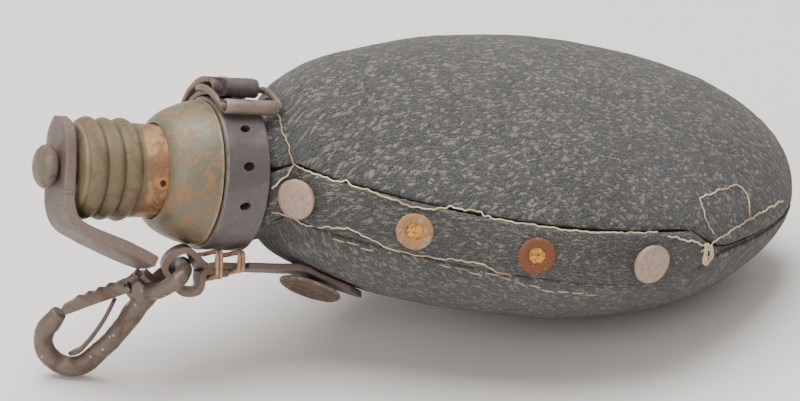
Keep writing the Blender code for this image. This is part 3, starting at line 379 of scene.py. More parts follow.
# %% Leather group and finishes
leather, ends_in, ends_out = start_group(
    "leather",
    [("Vector", VECTOR, None), ("Lay", VECTOR, None), ("Face", COLOUR, (0.1, 0.08, 0.08, 1)),
     ("Dust", COLOUR, (0.2, 0.2, 0.2, 1)), ("Edge", COLOUR, (0.3, 0.25, 0.22, 1)),
     ("Edge from", VALUE, 0.86), ("Cracks", VALUE, 0.4)],
    [("Colour", COLOUR), ("Roughness", VALUE), ("Height", VALUE)])
where = ends_in.outputs["Vector"]
parts = node(leather, "ShaderNodeSeparateXYZ", {"Vector": ends_in.outputs["Lay"]})
side = sum_of(leather, "ABSOLUTE", parts.outputs["Y"], 0.0)
grime = cloudy(leather, where, 140.0, 8, 0.62, 0.4)
fine = cloudy(leather, where, 1500.0, 6, 0.65)
pores = node(leather, "ShaderNodeTexVoronoi", {"Vector": where, "Scale": 1500.0},
             feature="DISTANCE_TO_EDGE").outputs["Distance"]
stretched = node(leather, "ShaderNodeMapping", {"Vector": ends_in.outputs["Lay"],
                 "Scale": (260.0, 2.2, 1.0)}).outputs["Vector"]
creases = cloudy(leather, stretched, 1.6, 7, 0.7, 1.2)
cracked = sum_of(leather, "MULTIPLY", between(leather, creases, 0.60, 0.70), ends_in.outputs["Cracks"])
ragged = sum_of(leather, "ADD", side, sum_of(leather, "MULTIPLY",
                sum_of(leather, "SUBTRACT", cloudy(leather, where, 420.0, 6, 0.7), 0.5), 0.35))
edge = between(leather, ragged, ends_in.outputs["Edge from"],
               sum_of(leather, "ADD", ends_in.outputs["Edge from"], 0.10))
colour = mixed(leather, between(leather, grime, 0.42, 0.68, 0.0, 0.75), ends_in.outputs["Face"],
               ends_in.outputs["Dust"])
colour = mixed(leather, cracked, colour, paint(52, 38, 34))
colour = mixed(leather, sum_of(leather, "MULTIPLY", edge, 0.8), colour, ends_in.outputs["Edge"])
shade = node(leather, "ShaderNodeHueSaturation",
             {"Value": between(leather, fine, 0.25, 0.75, 0.82, 1.2), "Color": colour}).outputs["Color"]
leather.links.new(shade, ends_out.inputs["Colour"])
rough = sum_of(leather, "ADD", between(leather, grime, 0.35, 0.7, 0.34, 0.58),
               sum_of(leather, "MULTIPLY", edge, 0.25))
leather.links.new(rough, ends_out.inputs["Roughness"])
height = sum_of(leather, "ADD", sum_of(leather, "MULTIPLY", between(leather, pores, 0.0, 0.12), 0.25),
                sum_of(leather, "MULTIPLY", fine, 0.4))
height = sum_of(leather, "SUBTRACT", height, cracked)
leather.links.new(height, ends_out.inputs["Height"])


def leather_finish(name, face, dust, edge, edge_from, cracks, depth, **constants):
    made, tree, shader, place = start_material(name, **constants)
    lay = node(tree, "ShaderNodeUVMap", {}, uv_map="Lay").outputs["UV"]
    skin = use_group(tree, leather, {"Vector": place, "Lay": lay, "Face": paint(*face),
                     "Dust": paint(*dust), "Edge": paint(*edge), "Edge from": edge_from,
                     "Cracks": cracks})
    finish_material(tree, shader, skin.outputs["Colour"], skin.outputs["Roughness"],
                    skin.outputs["Height"], depth)
    return made


cap_leather = leather_finish("stiff brown leather", (89, 73, 69), (107, 89, 84), (120, 103, 95),
                             0.84, 0.7, 0.0003)
neck_leather = leather_finish("waxed dark leather", (74, 66, 66), (94, 85, 85), (113, 94, 86),
                              0.92, 0.5, 0.00014, Coat_Weight=0.45, Coat_Roughness=0.28)
loop_leather = leather_finish("loop leather", (89, 71, 67), (103, 86, 81), (120, 100, 88),
                              0.80, 0.5, 0.00025)
chape_leather = leather_finish("chape leather", (77, 66, 64), (94, 82, 79), (131, 89, 60),
                               0.93, 0.8, 0.0003, Coat_Weight=0.3, Coat_Roughness=0.35)
back_leather = leather_finish("dark back leather", (70, 60, 61), (88, 76, 76), (104, 84, 74),
                              0.90, 0.5, 0.0002)
print("made five leathers from one group")

# %% [markdown]
# ## Wool
# The cover is thick charcoal tweed: fat slubs of pale and brown yarn, laid in slanting rows about
# two millimetres apart, with loose fibres over them. A weave has to follow the cloth, so the wool
# pieces carry a map called Cloth, in metres across the cloth. Small cells, stretched along the
# slant, make the slubs, and each cell draws its own shade of yarn.

# %% Wool finish
def wool_finish(name, deep, middle, fleck_share):
    made, tree, shader, place = start_material(name, Sheen_Weight=0.12, Sheen_Roughness=0.5)
    cloth = node(tree, "ShaderNodeUVMap", {}, uv_map="Cloth").outputs["UV"]
    wander = node(tree, "ShaderNodeTexNoise", {"Vector": cloth, "Scale": 260.0, "Detail": 4.0}).outputs["Color"]
    loose = mixed(tree, 0.0022, cloth, wander, "LINEAR_LIGHT")
    slant = node(tree, "ShaderNodeMapping", {"Vector": loose, "Rotation": (0, 0, math.radians(26)),
                 "Scale": (640.0, 1040.0, 1.0)}).outputs["Vector"]
    cells = node(tree, "ShaderNodeTexVoronoi", {"Vector": slant, "Scale": 1.0, "Randomness": 0.7},
                 voronoi_dimensions="2D")
    yarn = node(tree, "ShaderNodeSeparateColor", {"Color": cells.outputs["Color"]})
    hairs = cloudy(tree, place, 1500.0, 6, 0.82, 1.5)
    specks = cloudy(tree, place, 3100.0, 4, 0.8, 0.8)
    ragged = sum_of(tree, "ADD", cells.outputs["Distance"],
                    sum_of(tree, "MULTIPLY", sum_of(tree, "SUBTRACT", hairs, 0.5), 1.3))
    slub = between(tree, ragged, 0.62, 0.22)
    faded = cloudy(tree, place, 30.0, 7, 0.62, 0.3)
    ground = mixed(tree, between(tree, hairs, 0.40, 0.62), paint(*deep), paint(*middle))
    pale = between(tree, yarn.outputs["Red"], 1.0 - fleck_share, 1.0 - fleck_share * 0.5)
    brown = between(tree, yarn.outputs["Green"], 0.84, 0.92)
    dark = between(tree, yarn.outputs["Blue"], 0.34, 0.10, 0.0, 0.6)
    ground = mixed(tree, dark, ground, paint(50, 53, 53))
    ground = mixed(tree, sum_of(tree, "MULTIPLY", sum_of(tree, "MULTIPLY", pale, slub), 0.5), ground,
                   paint(160, 151, 143))
    ground = mixed(tree, sum_of(tree, "MULTIPLY", sum_of(tree, "MULTIPLY", brown, slub), 0.5), ground,
                   paint(140, 116, 100))
    ground = mixed(tree, between(tree, specks, 0.54, 0.63, 0.0, 0.62), ground, paint(158, 152, 145))
    ground = mixed(tree, between(tree, specks, 0.47, 0.38, 0.0, 0.8), ground, paint(26, 29, 30))
    ground = node(tree, "ShaderNodeHueSaturation",
                  {"Value": between(tree, faded, 0.3, 0.7, 0.86, 1.14), "Color": ground}).outputs["Color"]
    height = sum_of(tree, "ADD", sum_of(tree, "MULTIPLY", slub, 0.45), sum_of(tree, "MULTIPLY", hairs, 0.8))
    finish_material(tree, shader, ground, between(tree, hairs, 0.2, 0.8, 0.88, 0.98), height, 0.0006)
    return made


wool = wool_finish("charcoal tweed", (42, 45, 46), (80, 81, 79), 0.30)
flap_wool = wool_finish("charcoal tweed of the flap", (40, 43, 43), (77, 77, 75), 0.26)
thread, tree, shader, place = start_material("linen thread")
twist = node(tree, "ShaderNodeTexWave", {"Vector": place, "Scale": 900.0, "Distortion": 3.0}).outputs["Fac"]
thread_colour = mixed(tree, between(tree, cloudy(tree, place, 90.0, 4), 0.4, 0.65), paint(214, 202, 172),
                      paint(168, 148, 116))
finish_material(tree, shader, thread_colour, between(tree, twist, 0, 1, 0.7, 0.9), twist, 0.0001)
paper, tree, shader, place = start_material("pale paper", Roughness=0.75)
shader.inputs["Base Color"].default_value = paint(226, 223, 219)
floor.data.materials.append(paper)
print("made the wool, the thread and the paper")

# %% [markdown]
# ## Modelling helpers
# Every piece starts from nothing selected. A turned piece is one point, extruded along its outline
# and spun round the neck's axis. A strap is a flat grid laid along a path, so that it keeps straight
# rows for its finish, and then given its thickness. A casting starts as a copy of its solid, which
# is rebuilt as one even skin and smoothed, the way filing rounds a forging.

# %% Modelling helpers
def select_nothing():
    if bpy.context.object is not None and bpy.context.object.mode != "OBJECT":
        bpy.ops.object.mode_set(mode="OBJECT")
    bpy.ops.object.select_all(action="DESELECT")


def take_up(piece):
    """Make a piece the only selected one."""
    select_nothing()
    piece.select_set(True)
    bpy.context.view_layer.objects.active = piece
    return piece


def apply(piece, kind, **settings):
    """Add a modifier and apply it at once."""
    take_up(piece)
    step = piece.modifiers.new(kind.lower(), kind)
    for key, value in settings.items():
        setattr(step, key, value)
    bpy.ops.object.modifier_apply(modifier=step.name)


def uneven(piece, size, strength, seed_shift=0.0):
    """Push the surface in and out by soft noise, so that nothing is machine perfect."""
    lumps = bpy.data.textures.new(piece.name + " lumps", "CLOUDS")
    lumps.noise_scale = size
    lumps.noise_depth = 3
    piece.data.transform(Matrix.Translation((seed_shift, 0, 0)))
    apply(piece, "DISPLACE", texture=lumps, texture_coords="LOCAL", strength=strength, mid_level=0.5)
    piece.data.transform(Matrix.Translation((-seed_shift, 0, 0)))


def dress(piece, finish, body, replaced=(), angle=None):
    """Last step of every piece: its finish, its shading and the body that it rides on."""
    piece.data.materials.clear()
    piece.data.materials.append(finish)
    take_up(piece)
    if angle is None:
        bpy.ops.object.shade_smooth()
    else:
        bpy.ops.object.shade_smooth_by_angle(angle=math.radians(angle))
    if replaced:
        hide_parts(*replaced)
    if body:
        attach(piece, body)
    print(piece.name, "has", len(piece.data.polygons), "faces")
    return piece


def smooth_curve(points, per_span=6):
    """A curve through the given points, as a list of points of the same size."""
    points = [Vector(p) for p in points]
    path = []
    last = len(points) - 1
    for k in range(last):
        p0, p1, p2, p3 = points[max(k - 1, 0)], points[k], points[k + 1], points[min(k + 2, last)]
        for n in range(per_span):
            t = n / per_span
            path.append(0.5 * (2 * p1 + (p2 - p0) * t + (2 * p0 - 5 * p1 + 4 * p2 - p3) * t * t
                               + (3 * p1 - p0 - 3 * p2 + p3) * t ** 3))
    path.append(points[last])
    return path


def lathe(name, outline, place, steps=96, closed=True):
    """Spin an outline of (along, radius) points, in millimetres, round the local x axis."""
    select_nothing()
    bpy.ops.mesh.primitive_plane_add(size=MM)
    piece = bpy.context.object
    piece.name = name
    bpy.ops.object.mode_set(mode="EDIT")
    bpy.ops.mesh.merge(type="CENTER")
    bpy.ops.transform.translate(value=(outline[0][0] * MM, 0, outline[0][1] * MM))
    for before, after in zip(outline, outline[1:]):
        step = ((after[0] - before[0]) * MM, 0, (after[1] - before[1]) * MM)
        bpy.ops.mesh.extrude_vertices_move(TRANSFORM_OT_translate={"value": step})
    bpy.ops.object.mode_set(mode="OBJECT")
    if closed:
        ends = piece.data.vertices
        for vertex in ends:
            vertex.select = vertex.index in (0, len(ends) - 1)
        bpy.ops.object.mode_set(mode="EDIT")
        bpy.ops.mesh.edge_face_add()
        bpy.ops.object.mode_set(mode="OBJECT")
    bpy.ops.object.mode_set(mode="EDIT")
    bpy.ops.mesh.select_all(action="SELECT")
    bpy.ops.mesh.spin(steps=steps, angle=2 * math.pi, center=(0, 0, 0), axis=(1, 0, 0))
    bpy.ops.mesh.select_all(action="SELECT")
    bpy.ops.mesh.remove_doubles(threshold=0.00001)
    bpy.ops.mesh.normals_make_consistent(inside=False)
    bpy.ops.object.mode_set(mode="OBJECT")
    piece.data.transform(place)
    return piece


def spaced(path, count):
    """Evenly spaced points on a path."""
    lengths = [0.0]
    for before, after in zip(path, path[1:]):
        lengths.append(lengths[-1] + (after - before).length)
    wanted = np.linspace(0, lengths[-1], count)
    columns = [np.interp(wanted, lengths, [p[axis] for p in path]) for axis in range(3)]
    return [Vector(p) for p in zip(*columns)], lengths[-1]


def lay_strap(name, path, across, half_widths, thick, columns=12, crown=0.0, ripple=0.0):
    """A flat strap along a path: path in metres, across and half widths given at each point."""
    select_nothing()
    rows = len(path) - 1
    bpy.ops.mesh.primitive_grid_add(x_subdivisions=rows, y_subdivisions=columns, size=1)
    piece = bpy.context.object
    piece.name = name
    lengths = [0.0]
    for before, after in zip(path, path[1:]):
        lengths.append(lengths[-1] + (after - before).length)
    lay = {}
    for vertex in piece.data.vertices:
        row = min(max(round((vertex.co.x + 0.5) * rows), 0), rows)
        side = max(-1.0, min(1.0, vertex.co.y * 2))
        ahead = (path[min(row + 1, rows)] - path[max(row - 1, 0)]).normalized()
        normal = ahead.cross(across[row]).normalized()
        wave = ripple * math.sin(lengths[row] * 190 + side * 2.1) * side * side
        lay[vertex.index] = (lengths[row], side)
        vertex.co = (path[row] + across[row] * (half_widths[row] * side)
                     + normal * (crown * (1 - side * side) + wave))
    layer = piece.data.uv_layers[0]
    layer.name = "Lay"
    for corner in piece.data.loops:
        layer.data[corner.index].uv = lay[corner.vertex_index]
    apply(piece, "SOLIDIFY", thickness=thick, offset=0, use_even_offset=True)
    apply(piece, "BEVEL", width=thick * 0.22, segments=3, limit_method="ANGLE",
          angle_limit=math.radians(50))
    return piece


def from_solid(node_name, name):
    """A merged copy of a solid of the frame, as a new piece."""
    select_nothing()
    mesh = frame["nodes"][node_name].data.copy()
    piece = bpy.data.objects.new(name, mesh)
    bpy.context.collection.objects.link(piece)
    take_up(piece)
    bpy.ops.object.mode_set(mode="EDIT")
    bpy.ops.mesh.select_all(action="SELECT")
    bpy.ops.mesh.remove_doubles(threshold=0.000002)
    bpy.ops.mesh.tris_convert_to_quads()
    bpy.ops.object.mode_set(mode="OBJECT")
    return piece


def casting(node_name, name, skin_size, rounds, lump_size=0.004, lump_depth=0.00012):
    """A solid rebuilt as an even skin, rounded and made slightly uneven."""
    piece = from_solid(node_name, name)
    apply(piece, "REMESH", mode="VOXEL", voxel_size=skin_size, adaptivity=0)
    apply(piece, "SMOOTH", factor=0.5, iterations=rounds)
    uneven(piece, lump_size, lump_depth)
    return piece


print("modelling helpers ready")

# %% [markdown]
# ## The wool cover
# The cover is two pieces of cloth round the flask and a strip that closes them along the side. Each
# starts from its solid, whose rows already follow the flask. Subdivision rounds it and noise makes
# the soft dents of old wool. The map of the cloth is then measured: along the flask, and round it
# from the middle of the panel, as if the cloth were peeled off and laid flat.

# %% Wool cover
def map_cloth(piece, middle, turn):
    """Cloth map from the arc length round an oval section; turn 1 starts at the top, -1 below."""
    points = np.array([to_flask @ v.co for v in piece.data.vertices])
    x = points[:, 0]
    across = points[:, 1]
    rise = (points[:, 2] - middle * np.clip((x + 0.0078) / 0.01, 0, 1)) * turn
    edges = np.linspace(x.min(), x.max(), 40)
    bins = np.clip(np.digitize(x, edges), 1, 39)
    centres, widths, depths = [], [], []
    for k in range(1, 40):
        chosen = bins == k
        if chosen.sum() > 3:
            centres.append((edges[k - 1] + edges[k]) / 2)
            widths.append(max(np.abs(across[chosen]).max(), 0.004))
            depths.append(max(np.abs(rise[chosen]).max(), 0.004))
    width = np.interp(x, centres, widths)
    depth = np.interp(x, centres, depths)
    angle = np.arctan2(across / width, rise / depth)
    arc = np.zeros(len(x))
    slices = 24
    for k in range(slices):
        a = angle * (k + 0.5) / slices
        arc += np.hypot(width * np.cos(a), depth * np.sin(a)) * angle / slices
    layer = piece.data.uv_layers.new(name="Cloth") if not piece.data.uv_layers else piece.data.uv_layers[0]
    layer.name = "Cloth"
    for corner in piece.data.loops:
        layer.data[corner.index].uv = (x[corner.vertex_index], arc[corner.vertex_index])


AXIS_OFFSET = 0.0036
FLAP_PUFF = 0.0004
covers = []
for node_name, name, turn, shift in (("cover_top_panel", "wool_cover_top", 1, 0.0),
                                     ("cover_bottom_panel", "wool_cover_under", -1, 0.3),
                                     ("stud_flap", "wool_flap", 1, 0.6)):
    cover = from_solid(node_name, name)
    if name == "wool_flap":
        apply(cover, "REMESH", mode="VOXEL", voxel_size=0.0005, adaptivity=0)
        apply(cover, "SMOOTH", factor=0.5, iterations=4)
        apply(cover, "DISPLACE", strength=FLAP_PUFF, mid_level=0)
    else:
        apply(cover, "SUBSURF", levels=3, render_levels=3, subdivision_type="CATMULL_CLARK")
    uneven(cover, 0.022, 0.0011 if name != "wool_flap" else 0.0005, shift)
    uneven(cover, 0.0035, 0.00035, shift)
    map_cloth(cover, AXIS_OFFSET, turn)
    dress(cover, flap_wool if name == "wool_flap" else wool,
          "flap" if name == "wool_flap" else "flask", (node_name,))
    covers.append(cover)

# %% [markdown]
# ## Hand stitching
# Somebody has mended this cover with cream linen thread. Each stitch is a short rounded bar that
# sits half in the wool. The seams are drawn as a few places in the flask's frame, and every stitch
# is dropped on to the nearest place on the wool, so the thread always touches it.

# %% Stitches
wool_skin = []
for cover in covers:
    take_up(cover)
    wool_skin.append(BVHTree.FromObject(cover, bpy.context.evaluated_depsgraph_get()))


def drop_on_wool(point):
    """The nearest place on the wool, and the way out of it."""
    best = min((skin.find_nearest(point) for skin in wool_skin), key=lambda hit: hit[3])
    outward = (point - best[0]).normalized() if (point - best[0]).length > 1e-6 else best[1]
    return best[0], outward if outward.dot(best[1]) > 0 else best[1]


def sew(name, corners, length, space, thick, body):
    """A row of stitches along a seam, joined in one piece."""
    path = smooth_curve([at(*corner) for corner in corners], 10)
    total = sum((b - a).length for a, b in zip(path, path[1:]))
    count = max(2, int(total / ((length + space) * MM)))
    points = spaced(path, count * 2 + 1)[0]
    select_nothing()
    stitches = []
    for k in range(count):
        first, out = drop_on_wool(points[2 * k])
        second = drop_on_wool(points[2 * k + 2])[0]
        ahead = second - first
        reach = ahead.length * length / (length + space)
        sway = 0.12 * math.sin(k * 2.4) * ahead.length
        side = out.cross(ahead).normalized()
        bpy.ops.mesh.primitive_uv_sphere_add(segments=6, ring_count=6, radius=1)
        stitch = bpy.context.object
        frame_of = Matrix((side, out, ahead.normalized())).transposed().to_4x4()
        middle = (first + second) / 2 + out * thick * MM * 0.15 + side * sway
        stitch.data.transform(Matrix.Translation(middle) @ frame_of
                              @ Matrix.Diagonal((thick * MM / 2, thick * MM / 2, reach / 2, 1)))
        stitches.append(stitch)
    for stitch in stitches:
        stitch.select_set(True)
    bpy.context.view_layer.objects.active = stitches[0]
    bpy.ops.object.join()
    row = bpy.context.object
    row.name = name
    return dress(row, thread, body, ())


# %% [markdown]
# ## Places round the neck and along the harness
# Two ways of pointing at a place keep the straps simple. One goes round the neck by an angle from
# its top. The other goes along the harness, the line of leather under the flask: a distance along
# the neck, a depth below its axis, and a step across the leather.

# %% Places
HARNESS_TURN = math.radians(27)


def around(x, angle, radius):
    """A place round the neck, at an angle in degrees from the top towards the front."""
    turn = math.radians(angle)
    return at(x, -radius * math.sin(turn), radius * math.cos(turn))


def harness(x, depth, side=0.0):
    """A place under the neck, in the plane of the harness."""
    down = Vector((0, -math.sin(HARNESS_TURN), -math.cos(HARNESS_TURN)))
    over = Vector((0, -math.cos(HARNESS_TURN), math.sin(HARNESS_TURN)))
    place = Vector((x, 0, 0)) + down * depth + over * side
    return at(*place)


harness_across = (harness(0, 0, 1) - harness(0, 0, 0)).normalized()


def facing(place, outward):
    """A matrix whose x axis leaves a surface at a place."""
    turned = Vector(outward).to_track_quat("X", "Z").to_matrix().to_4x4()
    turned.translation = Vector(place)
    return turned


def carve(piece, *cutters):
    """Cut holes with other pieces, which are then thrown away."""
    for cutter in cutters:
        apply(piece, "BOOLEAN", object=cutter, operation="DIFFERENCE", solver="EXACT")
        bpy.data.objects.remove(cutter)


def drill(place, outward, radius, length, oval=1.0):
    """A cutter for a round or oval hole, long across the strap when oval is over 1."""
    select_nothing()
    bpy.ops.mesh.primitive_cylinder_add(vertices=24, radius=radius * MM, depth=length * MM)
    cutter = bpy.context.object
    turned = Vector(outward).to_track_quat("Z", "X").to_matrix().to_4x4()
    turned.translation = Vector(place)
    cutter.data.transform(turned @ Matrix.Diagonal((1, oval, 1, 1)))
    return cutter


def rod(name, path, radius, closed=False, sides=14):
    """A round wire along a path in metres: a grid rolled up round it and merged at its seam."""
    select_nothing()
    rows = len(path) if closed else len(path) - 1
    bpy.ops.mesh.primitive_grid_add(x_subdivisions=rows, y_subdivisions=sides, size=1)
    piece = bpy.context.object
    piece.name = name
    lift = (path[1] - path[0]).orthogonal().normalized()
    frames = []
    for row in range(rows + 1):
        here = row % len(path)
        ahead = path[(here + 1) % len(path)] if closed or here < rows else path[here]
        behind = path[here - 1] if closed or here else path[here]
        forward = (ahead - behind).normalized()
        lift = (lift - forward * lift.dot(forward)).normalized()
        frames.append((path[here], lift, forward.cross(lift)))
    if closed:
        frames[-1] = frames[0]
    for vertex in piece.data.vertices:
        row = min(max(round((vertex.co.x + 0.5) * rows), 0), rows)
        turn = (vertex.co.y + 0.5) * 2 * math.pi
        centre, first, second = frames[row]
        vertex.co = centre + (first * math.cos(turn) + second * math.sin(turn)) * radius * MM
    bpy.ops.object.mode_set(mode="EDIT")
    bpy.ops.mesh.select_all(action="SELECT")
    bpy.ops.mesh.remove_doubles(threshold=0.00001)
    if not closed:
        bpy.ops.mesh.select_all(action="DESELECT")
        bpy.ops.mesh.select_non_manifold(extend=False, use_wire=False, use_multi_face=False,
                                         use_non_contiguous=False, use_verts=False)
        bpy.ops.mesh.edge_face_add()
    bpy.ops.mesh.select_all(action="SELECT")
    bpy.ops.mesh.normals_make_consistent(inside=False)
    bpy.ops.object.mode_set(mode="OBJECT")
    return piece


print("harness runs across", tuple(round(c, 2) for c in harness_across))

# %% [markdown]
# ## The screw cap
# The real cap is spun from thin sheet: three fat ribs give the fingers a grip and stiffen it, and a
# plain sleeve covers the threads. Its outline is drawn once, in and out, and spun round the neck's
# axis. The rib count and pitch follow the solid, so the seal and the neck still fit inside.

# %% Screw cap
CAP_END, CAP_RIM = -60.4, -34.2
RIB_START, RIB_PITCH, RIBS = -59.2, 5.2, 3
RIB_CREST, RIB_VALLEY, SLEEVE = 14.6, 12.9, 13.3
CAP_BORE, CAP_FLOOR = 12.3, -58.4

cap_outline = [(CAP_END, 0), (CAP_END, 8), (CAP_END, 11.6), (CAP_END + 0.25, 12.5), (CAP_END + 0.7, 12.9)]
for k in range(RIBS * 12 + 1):
    swell = abs(math.sin(math.pi * k / 12)) ** 0.75
    cap_outline.append((RIB_START + RIB_PITCH * k / 12, RIB_VALLEY + (RIB_CREST - RIB_VALLEY) * swell))
cap_outline += [(-42.9, SLEEVE - 0.1), (-42.3, SLEEVE), (-39, SLEEVE), (-36, SLEEVE), (-34.5, SLEEVE),
                (CAP_RIM, SLEEVE - 0.2), (CAP_RIM, CAP_BORE + 0.15), (-34.4, CAP_BORE), (-46, CAP_BORE),
                (CAP_FLOOR + 0.4, CAP_BORE), (CAP_FLOOR, CAP_BORE - 0.4), (CAP_FLOOR, 0)]
cap = lathe("enamelled_cap", cap_outline, flask, 160, False)
uneven(cap, 0.009, 0.00055)
uneven(cap, 0.0025, 0.00012, 0.2)
dress(cap, cap_finish, "cap", ("screw_cap",), 55)

# %% [markdown]
# ## The stud on the cap
# A turned steel knob holds the strap to the middle of the cap and lets it swivel. It has a short
# shank through the leather and a washer against the cap. Rust has rounded it, so its surface is
# pushed about more than the cap's.

# %% Cap stud
STUD_TIP, STUD_RADIUS = -71.3, 6.3
stud_outline = [(STUD_TIP, 0), (STUD_TIP + 0.15, 2.0), (STUD_TIP + 0.6, 4.0), (STUD_TIP + 1.5, 5.5),
                (STUD_TIP + 2.6, STUD_RADIUS), (STUD_TIP + 4.2, STUD_RADIUS), (STUD_TIP + 5.0, 5.8),
                (STUD_TIP + 5.5, 4.6), (-65.3, 3.7), (-65.2, 2.8), (-61.6, 2.8), (-61.5, 4.4),
                (-61.3, 4.6), (-60.8, 4.6), (-60.7, 4.4), (-60.7, 0)]
stud = lathe("cap_knob", stud_outline, flask, 72, False)
apply(stud, "SUBSURF", levels=1, render_levels=1, subdivision_type="CATMULL_CLARK")
uneven(stud, 0.003, 0.00045)
dress(stud, rusted_steel, "cap", ("cap_stud",))

# %% [markdown]
# ## The collar
# Under the cap the neck flares into a pressed collar, which the neck strap sits against. It is a
# thin bell, so the outline goes out along its face and back along its inside.

# %% Collar
COLLAR_TOP, COLLAR_LENGTH = -36.0, 13.8
COLLAR_NECK, COLLAR_FLARE = 13.7, 7.2
collar_shape = ((0, 0), (0.005, 0.08), (0.03, 0.18), (0.08, 0.31), (0.17, 0.46), (0.30, 0.60),
                (0.45, 0.72), (0.62, 0.83), (0.78, 0.92), (0.90, 0.975), (1, 1))
face = [(COLLAR_TOP + COLLAR_LENGTH * a, COLLAR_NECK + COLLAR_FLARE * b) for a, b in collar_shape]
inside = [(x + 0.8, r - 0.75) for x, r in reversed(face[1:-2])]
collar = lathe("flared_collar", face + [(-22.2, 19.9)] + inside + [(-35.0, COLLAR_NECK)], flask, 144)
uneven(collar, 0.014, 0.0006)
dress(collar, collar_enamel, "flask", ("neck_collar",), 50)

# %% [markdown]
# ## The strap over the cap
# One stiff strap keeps the cap from getting lost: its rounded head is pierced by the knob, it bends
# round the cap's end and runs back under the collar. In use it gives way as the cap unscrews; here
# the piece is laid once in place and is not attached to the cap or to the flask.

# %% Cap strap
CAP_STRAP_HALF, CAP_STRAP_THICK = 8.0, 3.0
cap_route = [(-63.5, -14.4), (-63.4, -7), (-63.5, 0), (-63.6, 6), (-63.4, 11.2), (-61.4, 15.7),
             (-56, 18.9), (-47, 22.3), (-36.6, 26.2)]
CAP_ROWS = 150
cap_path = spaced(smooth_curve([harness(*place) for place in cap_route], 10), CAP_ROWS)[0]
head_end = (CAP_STRAP_HALF - 0.6) * MM
half_widths = []
for place in cap_path:
    gone = min((place - cap_path[0]).length, head_end)
    rounding = math.sqrt(max(1 - ((head_end - gone) / head_end) ** 2, 0.06))
    left = (cap_path[-1] - place).length
    half_widths.append(CAP_STRAP_HALF * MM * rounding * min(1, 0.82 + left / 0.05))
cap_strap = lay_strap("cap_keeper_strap", cap_path, [harness_across] * CAP_ROWS, half_widths,
                      CAP_STRAP_THICK * MM, 12, 0.00025, 0.0003)
apply(cap_strap, "SMOOTH", factor=0.5, iterations=5)
carve(cap_strap, drill(at(-63.5, 0, 0), neck_direction, 3.1, 12))
uneven(cap_strap, 0.008, 0.0004)
dress(cap_strap, cap_leather, None, ("cap_strap_head", "cap_strap_run"), 40)
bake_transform(cap_strap)

# %% [markdown]
# ## The neck strap
# A dark waxed strap goes once round the neck, with three holes for the buckle's tongue. It is laid
# as an arc and drilled with oval cutters, because long use has stretched the holes.

# %% Neck strap
NECK_STRAP_MIDDLE, NECK_STRAP_HALF = -15.0, 6.6
NECK_STRAP_RADIUS, NECK_STRAP_THICK = 22.0, 2.5
HOLE_ANGLES = (32, 62.3, 92.6)
angles = np.linspace(-34, 318, 120)
ring = [around(NECK_STRAP_MIDDLE, angle, NECK_STRAP_RADIUS - NECK_STRAP_THICK / 2) for angle in angles]
neck_strap = lay_strap("neck_band", ring, [neck_direction] * len(ring), [NECK_STRAP_HALF * MM] * len(ring),
                       NECK_STRAP_THICK * MM, 12, -0.0002)
for angle in HOLE_ANGLES:
    hole = around(NECK_STRAP_MIDDLE, angle, NECK_STRAP_RADIUS)
    carve(neck_strap, drill(hole, hole - at(NECK_STRAP_MIDDLE, 0, 0), 1.25, 12, 1.35))
uneven(neck_strap, 0.012, 0.0005)
dress(neck_strap, neck_leather, "flask", ("neck_strap",), 40)

# %% [markdown]
# ## The buckle and its leather fold
# The buckle hangs in a short piece of leather, the chape, which is folded over its far bar and
# riveted down. A slot in the fold makes room for a tongue. The frame is one bent wire, and the
# roller is a loose sheet tube on its near bar, so it spins on the same body as in the solids.

# %% Chape and its rivet
CHAPE_MIDDLE, CHAPE_HALF, CHAPE_LAYER = -13.4, 7.15, 1.7
CHAPE_INNER, CHAPE_OUTER, SLOT_X = 23.15, 26.85, -18.4
fold_middle = (CHAPE_INNER + CHAPE_OUTER) / 2
fold_radius = (CHAPE_OUTER - CHAPE_INNER) / 2
fold_angle = -9 - math.degrees(fold_radius / fold_middle)
chape_path = [around(CHAPE_MIDDLE, angle, CHAPE_INNER) for angle in np.linspace(-70, fold_angle, 26)]
for turn in np.linspace(-80, 80, 11):
    reach = fold_radius * math.cos(math.radians(turn))
    chape_path.append(around(CHAPE_MIDDLE, fold_angle + math.degrees(reach / fold_middle),
                             fold_middle + fold_radius * math.sin(math.radians(turn))))
for angle in np.linspace(fold_angle, -71, 30):
    pressed = max(0, (-angle - 45) / 26) * 0.9
    chape_path.append(around(CHAPE_MIDDLE, angle, CHAPE_OUTER - pressed))
chape = lay_strap("chape_fold", chape_path, [neck_direction] * len(chape_path),
                  [CHAPE_HALF * MM] * len(chape_path), CHAPE_LAYER * MM, 12)
slot_place = around(SLOT_X, -12, fold_middle)
carve(chape, drill(slot_place, slot_place - at(SLOT_X, 0, 0), 1.2, 9, 2.4))
uneven(chape, 0.007, 0.0007)
dress(chape, chape_leather, "flask", ("buckle_chape",), 40)

rivet_place = around(-12.4, -38, 27.7)
rivet_outline = [(-1.4, 0), (-1.4, 1.2), (0, 1.2), (0.05, 2.5), (0.35, 2.6), (0.9, 2.1), (1.25, 1.2), (1.35, 0)]
rivet = lathe("chape_rivet_dome", rivet_outline,
              facing(rivet_place, rivet_place - at(-12.4, 0, 0)), 40, False)
uneven(rivet, 0.002, 0.0002)
dress(rivet, rusted_steel, "flask", ("chape_rivet",))

# %% Buckle frame and roller
buckle_wire = casting("buckle_frame", "buckle_wire_frame", 0.00022, 8, 0.004, 0.00025)
dress(buckle_wire, rusted_steel, "buckle", ("buckle_frame",))

